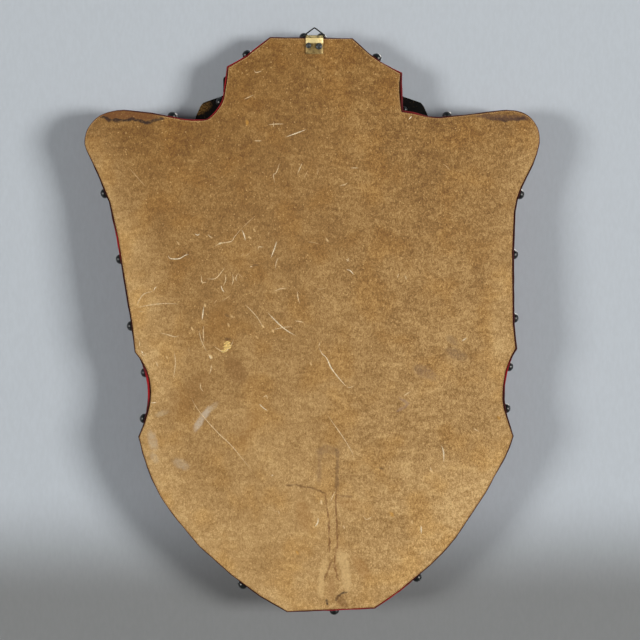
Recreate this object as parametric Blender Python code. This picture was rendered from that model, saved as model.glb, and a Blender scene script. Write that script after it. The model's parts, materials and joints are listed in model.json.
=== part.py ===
"""A shield-shaped wall plaque, made the way such plaques are.

A sawn particle-board shield is covered over its front and sides with red felt, held along the sides by
domed black nails. A carved and blackened wooden shield lies on the front. A folded brass strap, nailed
to the back, holds the wire ring that the plaque hangs from.

The origin is the hang point, inside the top of the ring. The back faces +Y, the front -Y, +Z is up.
Shapes are laid out in millimetres as seen from behind: right of the hang point, down from it, and deep
into the plaque from the plane of the ring.
"""

import math

import bmesh
import bpy
from mathutils import Matrix, Vector

MM = 0.001
GAP = 0.3
"""Millimetres left between pieces that touch."""

# The wire ring and the strap's knuckle
WIRE_RADIUS = 0.7
RING_AXIS_DOWN = 8.2
RING_HALF_BASE = 12.4
RING_TOP_CORNER = 1.16
"""Height of the ring's top corner before it is rounded, which puts the inside of the bend at the origin."""
RING_TOP_BEND = 1.8
RING_FOOT_BEND = 0.8
WIRE_SIDES = 8
BEND_STEPS = 5
BORE_SIDES = 14
KNUCKLE_STEPS = 12
STRAP_METAL = 0.45
STRAP_HALF_WIDTH = 9.1
STRAP_BOTTOM_DOWN = 26.2
BORE_RADIUS = WIRE_RADIUS + GAP
KNUCKLE_RADIUS = BORE_RADIUS + STRAP_METAL
LEAF_FRONT = KNUCKLE_RADIUS
LEAF_BACK = KNUCKLE_RADIUS - 2 * STRAP_METAL

# Depths of the layers, from the plane of the ring towards the front
BOARD_BACK = LEAF_FRONT + GAP
BOARD_THICKNESS = 16.0
BOARD_FRONT = BOARD_BACK + BOARD_THICKNESS
FELT_THICKNESS = 1.0
FELT_HEM = BOARD_BACK + 0.2
FELT_BACK = BOARD_FRONT + GAP
FELT_FRONT = FELT_BACK + FELT_THICKNESS
CARVING_BACK = FELT_FRONT + GAP
CARVING_RIM = 10.0
CARVING_FLOOR = 5.0
CARVING_RIM_WIDTH = 9.0
CARVING_EDGE = 2.5
CENTRE_RIGHT = -2.6
"""The board was sawn by hand, and its middle lies a little left of the hang point."""

# Nails
DOME_RADIUS = 5.1
CORNER_DOME_RADIUS = 3.3
DOME_TOP = math.radians(78)
SHANK_RADIUS = 1.0
SHANK_LENGTH = 13.0
NAIL_SIDES = 10
SEAT_STEP = 0.1
NAIL_DEPTH = BOARD_BACK + BOARD_THICKNESS / 2
HANGER_SHANK_RADIUS = 0.9
HANGER_SHANK_LENGTH = 7.5
HANGER_NAILS = {"hanger_nail_left": (-6.3, 17.4, 2.9, 1.7), "hanger_nail_right": (4.7, 18.2, 3.4, 2.0)}
"""Right, down, head radius and head height of each nail in the strap."""

CORNER, BEND = "corner", "bend"
TURN_PER_STEP = math.radians(8)
SMOOTH_UNDER = math.radians(45)
CUT_PAST = 2.0
"""How far a cutter reaches past what it cuts."""

BOARD_STOPS = [
    # Top edge and the chamfer and neck on the right
    (-46.0, 9.4, CORNER, 0.0),
    (39.2, 10.3, CORNER, 0.0),
    (57.1, 26.6, BEND, 0.3),
    (68.4, 34.5, BEND, 0.3),
    (89.5, 46.6, CORNER, 0.0),
    (88.3, 65.5, BEND, 1.4),
    (90.8, 86.5, CORNER, 0.0),
    # Right arm, dipping along its top and rounded at its tip
    (102.7, 88.4, BEND, 0.0),
    (116.4, 91.5, BEND, 0.0),
    (131.0, 92.9, BEND, 0.0),
    (159.1, 89.9, BEND, 0.0),
    (192.6, 85.8, BEND, 0.0),
    (208.4, 85.5, BEND, 0.0),
    (223.3, 91.2, BEND, 0.0),
    (232.3, 102.7, BEND, 0.0),
    (234.5, 118.3, BEND, 0.0),
    # Right side, waist and lower flank
    (227.4, 140.7, BEND, 0.0),
    (215.2, 164.7, BEND, 0.0),
    (208.2, 189.8, BEND, 0.3),
    (206.2, 233.0, BEND, 0.2),
    (206.9, 306.6, BEND, 0.0),
    (209.7, 333.3, CORNER, 0.0),
    (199.3, 357.2, BEND, 0.4),
    (196.0, 386.4, BEND, 0.7),
    (199.6, 403.3, BEND, 0.3),
    (206.8, 425.0, CORNER, 0.0),
    (198.7, 446.3, BEND, 0.0),
    (178.3, 483.9, BEND, 0.0),
    (147.1, 530.7, BEND, 0.0),
    (120.6, 559.2, BEND, 0.0),
    (88.7, 585.7, BEND, 0.0),
    # Bottom edge
    (62.7, 603.8, CORNER, 0.0),
    (-28.4, 607.8, CORNER, 0.0),
    # Left lower flank, waist and side
    (-56.0, 592.0, BEND, 0.0),
    (-86.7, 569.4, BEND, 0.0),
    (-120.7, 539.2, BEND, 0.0),
    (-143.5, 511.8, BEND, 0.0),
    (-160.6, 487.6, BEND, 0.0),
    (-174.3, 456.9, BEND, 0.0),
    (-183.0, 425.7, CORNER, 0.0),
    (-173.7, 400.2, BEND, 0.5),
    (-170.7, 379.0, BEND, 1.2),
    (-174.8, 356.8, BEND, 0.4),
    (-187.0, 337.1, CORNER, 0.0),
    (-189.8, 309.6, BEND, 0.0),
    (-198.4, 258.2, BEND, 0.0),
    (-204.9, 217.0, BEND, 0.2),
    (-213.3, 180.4, BEND, 0.2),
    (-226.4, 148.9, BEND, 0.0),
    (-237.3, 127.1, BEND, 0.0),
    # Left arm, rounded at its tip, and the curved notch up to the neck
    (-239.7, 116.9, BEND, 0.0),
    (-235.5, 102.5, BEND, 0.0),
    (-224.2, 90.8, BEND, 0.0),
    (-212.2, 86.4, BEND, 0.0),
    (-199.0, 84.9, BEND, 0.0),
    (-169.9, 88.3, BEND, 0.0),
    (-137.8, 94.7, BEND, 0.0),
    (-117.4, 95.6, BEND, 0.0),
    (-109.6, 93.4, BEND, 0.0),
    (-100.2, 83.8, BEND, 0.2),
    (-94.3, 72.4, BEND, 0.4),
    (-90.7, 49.8, BEND, 0.6),
    (-89.9, 40.0, CORNER, 0.0),
    (-70.0, 28.7, BEND, 0.2),
    (-66.4, 25.3, BEND, 0.2),
]
"""The sawn edge, clockwise from behind: right, down, whether it turns sharply there, and how far the
stretched felt stands off it, which it does where the edge is hollow."""

CARVING_HALF = [
    (36.0, 21.0, CORNER),
    (90.0, 45.5, CORNER),
    (93.6, 49.0, CORNER),
    (93.5, 67.5, CORNER),
    (114.6, 74.8, CORNER),
    (117.6, 78.6, CORNER),
    (122.0, 88.6, BEND),
    (130.0, 112.0, BEND),
    (136.5, 160.0, BEND),
    (138.5, 215.0, BEND),
    (135.0, 285.0, BEND),
    (121.0, 352.0, BEND),
    (90.0, 412.0, BEND),
    (48.0, 460.0, BEND),
]
CARVING_POINT_DOWN = 496.0
"""Half the carved shield's outline, from its top down to its point: out from its middle, and down."""
CUT_CORNERS = [(93.6, 49.0), (117.6, 78.6)]
"""Stops that only cut off a corner of that outline, and which the sunk field inside it leaves out."""

EDGE_NAILS = [
    # Top edge and chamfers
    (-11.1, 9.4),
    (7.6, 9.5),
    (-69.2, 27.8),
    (63.9, 31.2),
    # Notches beside the neck, and the arms' top edges
    (-97.0, 75.4),
    (90.8, 86.5),
    (-149.6, 92.0),
    (139.0, 92.0),
    # Left side
    (-217.0, 169.5),
    (-201.6, 239.3),
    (-189.8, 309.2),
    (-174.0, 357.6),
    (-175.8, 407.2),
    # Right side
    (213.0, 171.5),
    (206.2, 234.5),
    (206.8, 301.2),
    (200.9, 351.8),
    (198.4, 397.0),
    # Lower flanks and bottom edge
    (-73.5, 578.6),
    (20.8, 606.3),
    (106.6, 572.0),
]
"""Where each nail goes through the edge, right and down."""

CROSS_HALF_WIDTH = 11.0
CROSS_DOWN = 248.0
CROSS_ARM_REACH = 132.0
CROSS_FOOT_DOWN = 482.0
CHIEF_DOWN = 98.0
CHIEF_HALF_HEIGHT = 7.0
CHIEF_REACH = 124.0
CHIEF_HEIGHT, UPRIGHT_HEIGHT, ARMS_HEIGHT = 8.5, 8.1, 7.7
BAR_SLOPE = 1.5
SUNK_FOOT = -2.0
"""Where raised parts start, below the carving's floor, so that they merge with it."""
ROSES = [(-72.0, 172.0, 35.0), (72.0, 172.0, 35.0), (-66.0, 326.0, 33.0), (66.0, 326.0, 33.0)]
"""Out, down and radius of each five-petalled rose in the carved shield's quarters."""
ROSE_PROFILE = [(1.0, SUNK_FOOT), (1.0, 1.6), (0.82, 3.6), (0.45, 2.0), (0.3, 1.6), (0.27, 3.4), (0.12, 4.4)]
"""Share of the rose's radius and height above the floor, from the petals' feet in to the button."""
BUTTON_SHARE = 0.4
ROSE_STEPS = 30
LOZENGES = [-46.0, 0.0, 46.0]
LOZENGE_DOWN = 61.0
LOZENGE_HALF_SIZES = (14.0, 19.0)
LOZENGE_PROFILE = [(1.0, SUNK_FOOT), (1.0, 1.2), (0.12, 4.4)]
BOSS_RADIUS = 24.0
BOSS_PROFILE = [(1.0, SUNK_FOOT), (1.0, 4.0), (0.86, 5.2), (0.6, 5.2), (0.5, 6.2), (0.2, 7.2)]
BOSS_SIDES = 20


def clear_scene():
    for old in list(bpy.data.objects):
        bpy.data.objects.remove(old, do_unlink=True)


def placed(right, down, depth=0.0):
    """A point laid out as seen from behind, in the plaque's own frame and in metres."""
    return Vector((-right, -depth, -down)) * MM


def linear(red, green, blue):
    """A screen colour, 0 to 255, as the linear colour a shader takes."""
    return [((c / 255 + 0.055) / 1.055) ** 2.4 if c > 10 else c / 255 / 12.92 for c in (red, green, blue)]


def material(name, colour, roughness, metallic=0.0):
    made = bpy.data.materials.new(name)
    made.use_nodes = True
    shader = made.node_tree.nodes["Principled BSDF"]
    shader.inputs["Base Color"].default_value = (*linear(*colour), 1.0)
    shader.inputs["Roughness"].default_value = roughness
    shader.inputs["Metallic"].default_value = metallic
    return made


def mesh_object(name, mesh, finish=None, parent=None):
    made = bpy.data.objects.new(name, mesh)
    bpy.context.scene.collection.objects.link(made)
    if finish and not mesh.materials:
        mesh.materials.append(finish)
    made.parent = parent
    return made


def guide(name, mesh):
    """An object that only shapes another one."""
    made = mesh_object(name, mesh)
    made.hide_render = True
    made.display_type = "WIRE"
    return made


def boolean(target, tool, operation="DIFFERENCE"):
    cut = target.modifiers.new(tool.name, "BOOLEAN")
    cut.operation = operation
    cut.solver = "EXACT"
    cut.object = tool


def add_skin(bm, rings, looped=False):
    """A closed surface through rings of as many points each, capped at its ends or joined end to end."""
    made = [[bm.verts.new(point) for point in ring] for ring in rings]
    pairs = list(zip(made, made[1:]))
    if looped:
        pairs.append((made[-1], made[0]))
    for near, far in pairs:
        for i in range(len(near)):
            j = (i + 1) % len(near)
            bm.faces.new((near[i], near[j], far[j], far[i]))
    if not looped:
        bm.faces.new(made[0])
        bm.faces.new(made[-1])


def skin_mesh(name, *skins, looped=False, smooth=False):
    bm = bmesh.new()
    for rings in skins:
        add_skin(bm, rings, looped)
    bmesh.ops.recalc_face_normals(bm, faces=bm.faces)
    mesh = bpy.data.meshes.new(name)
    bm.to_mesh(mesh)
    bm.free()
    if smooth:
        mesh.shade_smooth()
        mesh.set_sharp_from_angle(angle=SMOOTH_UNDER)
    return mesh


def circle(radius, height, sides):
    turns = [math.tau * i / sides for i in range(sides)]
    return [Vector((radius * math.cos(a), radius * math.sin(a), height)) * MM for a in turns]


def smooth_path(stops):
    """Points along a closed outline: straight from corner to corner, and curved through its bends."""
    spots = [Vector(stop[:2]) for stop in stops]
    count = len(stops)
    points = []

    def heading(i):
        return (spots[(i + 1) % count] - spots[i - 1]).normalized()

    for i, stop in enumerate(stops):
        j = (i + 1) % count
        chord = spots[j] - spots[i]
        straight = chord.normalized()
        bends_here = stop[2] == BEND
        bends_there = stops[j][2] == BEND
        start = heading(i) if bends_here else None
        end = heading(j) if bends_there else None
        if start is None and end is None:
            start = end = straight
        elif start is None:
            start = 2 * straight.dot(end) * straight - end
        elif end is None:
            end = 2 * straight.dot(start) * straight - start
        turn = start.angle(straight) + straight.angle(end)
        steps = max(1, math.ceil(turn / TURN_PER_STEP))
        lift, next_lift = (stop[3], stops[j][3]) if len(stop) > 3 else (0.0, 0.0)
        for step in range(steps):
            t = step / steps
            spot = (
                (2 * t**3 - 3 * t**2 + 1) * spots[i]
                + (t**3 - 2 * t**2 + t) * chord.length * start
                + (3 * t**2 - 2 * t**3) * spots[j]
                + (t**3 - t**2) * chord.length * end
            )
            points.append((spot, lift + (next_lift - lift) * t))
    return points


def moved_out(path, distance, stand_off=True):
    """The outline moved outwards by a distance, and by what the felt stands off there."""
    moved = []
    for i, (spot, lift) in enumerate(path):
        before = (spot - path[i - 1][0]).normalized()
        after = (path[(i + 1) % len(path)][0] - spot).normalized()
        out_before = Vector((before.y, -before.x))
        out = (out_before + Vector((after.y, -after.x))).normalized()
        reach = (distance + (lift if stand_off else 0.0)) / max(out.dot(out_before), 0.5)
        moved.append((spot + out * reach, lift))
    return moved


def at_depth(path, depth):
    return [placed(spot.x, spot.y, depth) for spot, _ in path]


def walk(path, pitch=1.0):
    """Closely spaced points along an outline."""
    spots = [spot for spot, _ in path]
    close = []
    for here, there in zip(spots, spots[1:] + spots[:1]):
        steps = max(1, round((there - here).length / pitch))
        close.extend(here.lerp(there, step / steps) for step in range(steps))
    return close


def nail_seat(board_path, felt_path, right, down, dome_radius):
    """Where a nail's dome sits and the way it points, square to the edge and just clear of the felt."""
    edge = walk(board_path)
    aim = Vector((right, down))
    nearest = min(range(len(edge)), key=lambda i: (edge[i] - aim).length)
    along = (edge[(nearest + 5) % len(edge)] - edge[nearest - 5]).normalized()
    out = Vector((along.y, -along.x))
    foot = edge[nearest]
    near = [spot - foot for spot in walk(felt_path) if (spot - foot).length < 4 * dome_radius]
    height = 0.0
    while not all(dome_clears(spot.dot(along), spot.dot(out) - height, dome_radius) for spot in near):
        height += SEAT_STEP
    return foot + out * height, out


def dome_clears(across, above, dome_radius):
    """Is a point of the felt under a dome's flat base, or clear of its round side?"""
    return above <= -GAP or math.hypot(across, max(above, 0.0)) >= dome_radius + GAP


def nail_rings(head_radius, head_height, shank_radius, shank_length, rows=3):
    """A domed nail as turned rings, from the tip of its shank to the top of its head."""
    rings = [circle(shank_radius, -shank_length, NAIL_SIDES), circle(shank_radius, 0, NAIL_SIDES)]
    rings.append(circle(head_radius, 0, NAIL_SIDES))
    for row in range(1, rows + 1):
        rise = DOME_TOP * row / rows
        rings.append(circle(head_radius * math.cos(rise), head_height * math.sin(rise), NAIL_SIDES))
    return rings


def standing(spot, out, depth):
    """A frame at a point of the edge whose Z points outwards."""
    away = placed(out.x, out.y).normalized()
    side = Vector((0, 1, 0))
    turn = Matrix((side.cross(away), side, away)).transposed()
    return Matrix.Translation(placed(spot.x, spot.y, depth)) @ turn.to_4x4()


def rounded_loop(corners, bends):
    """A closed line through corners, each rounded to its own bend radius."""
    points = []
    for i, corner in enumerate(corners):
        to_last = (corners[i - 1] - corner).normalized()
        to_next = (corners[(i + 1) % len(corners)] - corner).normalized()
        half = to_last.angle(to_next) / 2
        middle = corner + (to_last + to_next).normalized() * bends[i] / math.sin(half)
        start = corner + to_last * bends[i] / math.tan(half) - middle
        end = corner + to_next * bends[i] / math.tan(half) - middle
        for step in range(BEND_STEPS + 1):
            points.append(middle + start.slerp(end, step / BEND_STEPS).normalized() * bends[i])
    return points


def make_backboard(path, finish, parent):
    rings = [at_depth(path, BOARD_BACK), at_depth(path, BOARD_FRONT)]
    return mesh_object("backboard", skin_mesh("backboard", rings), finish, parent)


def make_felt(path, finish, parent):
    """The felt: over the front, round the edge and down the sides to a hem at the back."""
    inner = moved_out(path, GAP)
    outer = moved_out(path, GAP + FELT_THICKNESS)
    rings = [
        at_depth(inner, FELT_BACK),
        at_depth(inner, FELT_HEM),
        at_depth(outer, FELT_HEM),
        at_depth(outer, FELT_FRONT),
    ]
    return mesh_object("felt_cover", skin_mesh("felt_cover", rings), finish, parent), outer


def make_edge_nails(board_path, felt_path, finish, parent):
    """The nails along the edge, and the places and turns of their holes."""
    meshes = {}
    seats = []
    for number, (right, down) in enumerate(EDGE_NAILS, 1):
        in_corner = any(stop[:2] == (right, down) and stop[2] == CORNER for stop in BOARD_STOPS)
        radius = CORNER_DOME_RADIUS if in_corner else DOME_RADIUS
        if radius not in meshes:
            rings = nail_rings(radius, radius, SHANK_RADIUS, SHANK_LENGTH)
            meshes[radius] = skin_mesh(f"edge_nail_{radius}", rings, smooth=True)
        spot, out = nail_seat(board_path, felt_path, right, down, radius)
        nail = mesh_object(f"edge_nail_{number:02d}", meshes[radius], finish, parent)
        seats.append(standing(spot, out, NAIL_DEPTH))
        nail.matrix_local = seats[-1]
    return seats


def drill_mesh(name, seats, radius, length):
    """Straight drills, one for each nail, joined in one mesh."""
    drills = []
    for seat in seats:
        rings = [circle(radius, -length, NAIL_SIDES), circle(radius, DOME_RADIUS, NAIL_SIDES)]
        drills.append([[seat @ point for point in ring] for ring in rings])
    return skin_mesh(name, *drills)


def make_ring(finish, parent):
    """The triangular wire ring, with its origin on the line that it swings about."""
    corners = [
        Vector((0, RING_TOP_CORNER + RING_AXIS_DOWN)),
        Vector((RING_HALF_BASE, 0)),
        Vector((-RING_HALF_BASE, 0)),
    ]
    line = rounded_loop(corners, [RING_TOP_BEND, RING_FOOT_BEND, RING_FOOT_BEND])
    rings = []
    for i, spot in enumerate(line):
        along = (line[(i + 1) % len(line)] - line[i - 1]).normalized()
        out = Vector((along.y, -along.x))
        ring = []
        for side in range(WIRE_SIDES):
            angle = math.tau * (side + 0.5) / WIRE_SIDES
            reach = spot + out * WIRE_RADIUS * math.cos(angle)
            ring.append(Vector((reach.x, WIRE_RADIUS * math.sin(angle), reach.y)) * MM)
        rings.append(ring)
    mesh = skin_mesh("hanger_ring", rings, looped=True, smooth=True)
    ring = mesh_object("hanger_ring", mesh, finish, parent)
    ring.location = placed(0, RING_AXIS_DOWN)


def make_strap(finish, parent):
    """The brass strip, folded round the foot of the ring and doubled down the back of the board."""
    sweep = math.pi + math.acos(-LEAF_BACK / KNUCKLE_RADIUS)
    profile = [Vector((LEAF_FRONT, STRAP_BOTTOM_DOWN))]
    for step in range(KNUCKLE_STEPS + 1):
        angle = sweep * step / KNUCKLE_STEPS
        depth = KNUCKLE_RADIUS * math.cos(angle)
        profile.append(Vector((depth, RING_AXIS_DOWN - KNUCKLE_RADIUS * math.sin(angle))))
    profile.append(Vector((profile[-1].x, STRAP_BOTTOM_DOWN)))
    sides = [
        [placed(right, spot.y, spot.x) for spot in profile] for right in (-STRAP_HALF_WIDTH, STRAP_HALF_WIDTH)
    ]
    strap = mesh_object("hanger_strap", skin_mesh("hanger_strap", sides, smooth=True), finish, parent)
    lengthwise = Matrix.Translation(placed(0, RING_AXIS_DOWN)) @ Matrix.Rotation(math.pi / 2, 4, "Y")
    reach = STRAP_HALF_WIDTH + CUT_PAST
    bore = [[lengthwise @ point for point in circle(BORE_RADIUS, end, BORE_SIDES)] for end in (-reach, reach)]
    boolean(strap, guide("knuckle_bore", skin_mesh("knuckle_bore", bore)))
    return strap


def make_hanger_nails(finish, parent):
    seats = []
    for name, (right, down, radius, height) in HANGER_NAILS.items():
        rings = nail_rings(radius, height, HANGER_SHANK_RADIUS, HANGER_SHANK_LENGTH)
        nail = mesh_object(name, skin_mesh(name, rings, smooth=True), finish, parent)
        facing_back = Matrix.Rotation(-math.pi / 2, 4, "X")
        seats.append(Matrix.Translation(placed(right, down, LEAF_BACK - GAP)) @ facing_back)
        nail.matrix_local = seats[-1]
    return seats


def carving_spot(out, down, height):
    """A point of the carving: out from its middle, down, and up from its back."""
    return placed(CENTRE_RIGHT + out, down, CARVING_BACK + height)


def carving_path(half):
    right_half = [(CENTRE_RIGHT + out, down, kind) for out, down, kind in half]
    left_half = [(CENTRE_RIGHT - out, down, kind) for out, down, kind in reversed(half)]
    return smooth_path(right_half + [(CENTRE_RIGHT, CARVING_POINT_DOWN, CORNER)] + left_half)


def carving_skin(name, half, steps):
    """The carving's outline taken through steps, each so far out from it and so high."""
    path = carving_path(half)
    rings = [at_depth(moved_out(path, out), CARVING_BACK + height) for out, height in steps]
    return skin_mesh(name, rings)


def bar_mesh(name, low, high, height):
    """A straight raised band with sloping sides."""
    rings = []
    for inset, level in ((0, CARVING_FLOOR + SUNK_FOOT), (0, height - BAR_SLOPE), (BAR_SLOPE, height)):
        left, right = low[0] + inset, high[0] - inset
        top, bottom = low[1] + inset, high[1] - inset
        corners = [(left, top), (right, top), (right, bottom), (left, bottom)]
        rings.append([carving_spot(*corner, level) for corner in corners])
    return skin_mesh(name, rings)


def petal_reach(angle):
    """The share of its radius that a rose reaches at an angle: five lobes, cut in between them."""
    return 0.74 + 0.26 * abs(math.cos(2.5 * angle)) ** 0.7


def rose_mesh(name, out, down, radius):
    """A heraldic rose: five hollowed petals round a button."""
    rings = []
    for share, height in ROSE_PROFILE:
        ring = []
        for step in range(ROSE_STEPS):
            angle = math.tau * step / ROSE_STEPS
            reach = radius * share * (petal_reach(angle) if share > BUTTON_SHARE else 0.9)
            spot = (out + reach * math.sin(angle), down - reach * math.cos(angle))
            ring.append(carving_spot(*spot, CARVING_FLOOR + height))
        rings.append(ring)
    return skin_mesh(name, rings)


def lozenge_mesh(name, out):
    wide, tall = LOZENGE_HALF_SIZES
    corners = [(0, -tall), (wide, 0), (0, tall), (-wide, 0)]
    rings = []
    for share, height in LOZENGE_PROFILE:
        level = CARVING_FLOOR + height
        rings.append([carving_spot(out + x * share, LOZENGE_DOWN + y * share, level) for x, y in corners])
    return skin_mesh(name, rings)


def boss_mesh(name):
    """The round boss where the cross's arms meet."""
    rings = []
    for share, height in BOSS_PROFILE:
        ring = circle(BOSS_RADIUS * share, 0, BOSS_SIDES)
        rings.append([carving_spot(p.x / MM, CROSS_DOWN + p.y / MM, CARVING_FLOOR + height) for p in ring])
    return skin_mesh(name, rings)


def make_carved_shield(finish, parent):
    """The carved shield: a moulded rim round a sunk field, with a cross, roses, lozenges and a boss."""
    body = [(0, 0), (0, CARVING_RIM - CARVING_EDGE), (-CARVING_EDGE, CARVING_RIM)]
    shield = mesh_object("carved_shield", carving_skin("carved_shield", CARVING_HALF, body), finish, parent)
    plain_half = [stop for stop in CARVING_HALF if stop[:2] not in CUT_CORNERS]
    slope_top = 2 * CARVING_EDGE - CARVING_RIM_WIDTH
    field = [(-CARVING_RIM_WIDTH, CARVING_FLOOR), (slope_top, 2 * CARVING_RIM - CARVING_FLOOR)]
    boolean(shield, guide("sunk_field", carving_skin("sunk_field", plain_half, field)))
    half = CROSS_HALF_WIDTH
    chief = [(side * CHIEF_REACH, CHIEF_DOWN + side * CHIEF_HALF_HEIGHT) for side in (-1, 1)]
    arms = [(side * CROSS_ARM_REACH, CROSS_DOWN + side * half) for side in (-1, 1)]
    tools = [
        bar_mesh("chief_bar", *chief, CHIEF_HEIGHT),
        bar_mesh("cross_upright", (-half, CHIEF_DOWN), (half, CROSS_FOOT_DOWN), UPRIGHT_HEIGHT),
        bar_mesh("cross_arms", *arms, ARMS_HEIGHT),
        boss_mesh("cross_boss"),
    ]
    tools += [rose_mesh(f"rose_{i}", *rose) for i, rose in enumerate(ROSES, 1)]
    tools += [lozenge_mesh(f"lozenge_{i}", out) for i, out in enumerate(LOZENGES, 1)]
    for mesh in tools:
        boolean(shield, guide(mesh.name, mesh), "UNION")


def main():
    clear_scene()
    plaque = bpy.data.objects.new("hang_point", None)
    bpy.context.scene.collection.objects.link(plaque)
    board_finish = material("particle board", (156, 120, 75), 0.75)
    felt_finish = material("red felt", (112, 12, 26), 0.95)
    nail_finish = material("blackened nails", (14, 16, 16), 0.25, 0.6)
    carving_finish = material("blackened carving", (26, 22, 17), 0.5)
    brass = material("dull brass", (196, 176, 112), 0.35, 0.9)
    steel = material("dull steel", (110, 114, 112), 0.35, 0.9)
    wire = material("blackened wire", (34, 36, 35), 0.4, 0.8)

    path = smooth_path(BOARD_STOPS)
    board = make_backboard(path, board_finish, plaque)
    felt, felt_path = make_felt(path, felt_finish, plaque)
    edge_seats = make_edge_nails(path, felt_path, nail_finish, plaque)
    edge_drills = drill_mesh("edge_drill", edge_seats, SHANK_RADIUS + GAP, SHANK_LENGTH + GAP)
    edge_drill = guide("edge_drill", edge_drills)
    boolean(board, edge_drill)
    boolean(felt, edge_drill)

    make_ring(wire, plaque)
    strap = make_strap(brass, plaque)
    hanger_seats = make_hanger_nails(steel, plaque)
    drill_size = HANGER_SHANK_RADIUS + GAP, HANGER_SHANK_LENGTH + GAP
    hanger_drill = guide("hanger_drill", drill_mesh("hanger_drill", hanger_seats, *drill_size))
    boolean(strap, hanger_drill)
    boolean(board, hanger_drill)
    make_carved_shield(carving_finish, plaque)


main()
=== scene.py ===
"""The looks of a felt-covered heraldic shield plaque, seen from behind as it was photographed.

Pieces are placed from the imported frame, in metres: the back faces +Y, the carved front -Y, +Z is up.
Marks on the bare board are placed by pixels of the photograph, which on_board turns into places.
"""

import json
import math
from functools import reduce

import bmesh
import bpy
import numpy as np
from mathutils import Matrix, Vector

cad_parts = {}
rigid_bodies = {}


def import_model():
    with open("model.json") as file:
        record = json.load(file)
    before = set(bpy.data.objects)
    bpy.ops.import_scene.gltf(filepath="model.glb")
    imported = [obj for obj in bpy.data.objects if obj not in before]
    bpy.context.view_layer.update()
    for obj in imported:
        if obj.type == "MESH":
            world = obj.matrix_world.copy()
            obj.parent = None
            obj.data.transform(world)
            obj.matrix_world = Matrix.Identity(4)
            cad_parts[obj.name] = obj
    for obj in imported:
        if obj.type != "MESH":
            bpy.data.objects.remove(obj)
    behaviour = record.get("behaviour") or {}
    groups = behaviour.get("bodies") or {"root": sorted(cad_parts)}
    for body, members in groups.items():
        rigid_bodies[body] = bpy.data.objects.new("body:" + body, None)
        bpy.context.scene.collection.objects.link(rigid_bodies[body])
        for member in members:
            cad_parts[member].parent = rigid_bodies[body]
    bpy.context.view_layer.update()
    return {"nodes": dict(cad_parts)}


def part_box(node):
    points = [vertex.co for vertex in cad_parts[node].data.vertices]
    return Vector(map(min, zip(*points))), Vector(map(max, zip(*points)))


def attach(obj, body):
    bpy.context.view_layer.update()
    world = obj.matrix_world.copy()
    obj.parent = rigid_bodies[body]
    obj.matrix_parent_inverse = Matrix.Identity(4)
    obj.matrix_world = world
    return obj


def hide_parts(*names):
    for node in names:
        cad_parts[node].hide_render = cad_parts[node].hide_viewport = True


for leftover in list(bpy.data.objects):
    bpy.data.objects.remove(leftover, do_unlink=True)
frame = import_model()

MM = 0.001

# Points nearer than this are one point
TOUCHING = 1e-6

# The photograph: size of a pixel, pixel of the hang point, which is the origin, width in pixels, and
# how far away its camera stands
PIXEL = 1.0435 * MM
HANG_PIXEL = (314.5, 29.0)
PHOTO_WIDTH = 640
CAMERA_AWAY = 1.9

# Levels of the layers, from the frame
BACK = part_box("backboard")[1].y
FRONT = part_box("backboard")[0].y
FELT_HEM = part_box("felt_cover")[1].y
FELT_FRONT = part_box("felt_cover")[0].y
CARVING_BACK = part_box("carved_shield")[1].y

EDGE_NAIL_COUNT = 21

# The backdrop hangs straight below its bend, and above it comes nearer by so much for each metre up.
# Its colour fades darker towards its foot between two heights.
BACKDROP = -0.056
BACKDROP_BEND = -0.23
BACKDROP_BEND_REACH = 0.08
BACKDROP_LEAN = 0.11
FOOT_DARKENING = (-0.48, -0.605)
FLOOR_LEVEL = -1.5
FLOOR_WIDTH = 30

# Hanger sizes
WIRE_RADIUS = 0.7 * MM
RING_AXIS = -8.2 * MM
RING_HALF_BASE = 12.4 * MM
RING_TOP = 1.16 * MM
RING_BENDS = (1.8 * MM, 0.8 * MM, 0.8 * MM)
STRAP_METAL = 0.45 * MM
STRAP_TURN = 1.225 * MM
STRAP_LEAF = 0.775 * MM

# The strip's nip under the ring: millimetres from the ring's plane and below its axis
STRAP_NIP = [(0.42, 1.22), (0.53, 1.42), (0.56, 1.8), (0.66, 4.0)]

# Carving sizes in millimetres: heights up from its back, and places right of and below the hang point
CARVING_RIM = 10.0
CARVING_FLOOR = 5.0
RIM_WIDTH = 9.0
CROSS_HALF_WIDTH = 11.0
CROSS_DOWN = 248.0
CHIEF_DOWN = 98.0
CHIEF_HALF_WIDTH = 7.0
BOSS_RADIUS = 24.0
ROSES = [(-72.0, 172.0, 35.0), (72.0, 172.0, 35.0), (-66.0, 326.0, 33.0), (66.0, 326.0, 33.0)]
LOZENGES = [-46.0, 0.0, 46.0]
LOZENGE_DOWN = 61.0
LOZENGE_HALF_SIZES = (14.0, 19.0)
PUNCH_PITCH = 6.5
PUNCH_RADIUS = 3.6

# The lights, all aimed at the middle of the picture: name, place, size, power and screen colour
LIGHTS = [
    ("left_light", (5.8, 4.6, -1.1), (2.2, 2.8), 468, (255, 250, 242)),
    ("right_light", (-6.0, 4.4, -1.1), (2.2, 2.8), 775, (255, 250, 242)),
    ("front_key", (-1.1, -2.3, 1.0), (0.8, 0.8), 75, (255, 248, 238)),
    ("front_fill", (1.2, -2.3, -0.1), (1.0, 1.2), 18, (240, 246, 255)),
]
ROOM_COLOUR = (224, 227, 230)
ROOM_STRENGTH = 0.1

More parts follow.
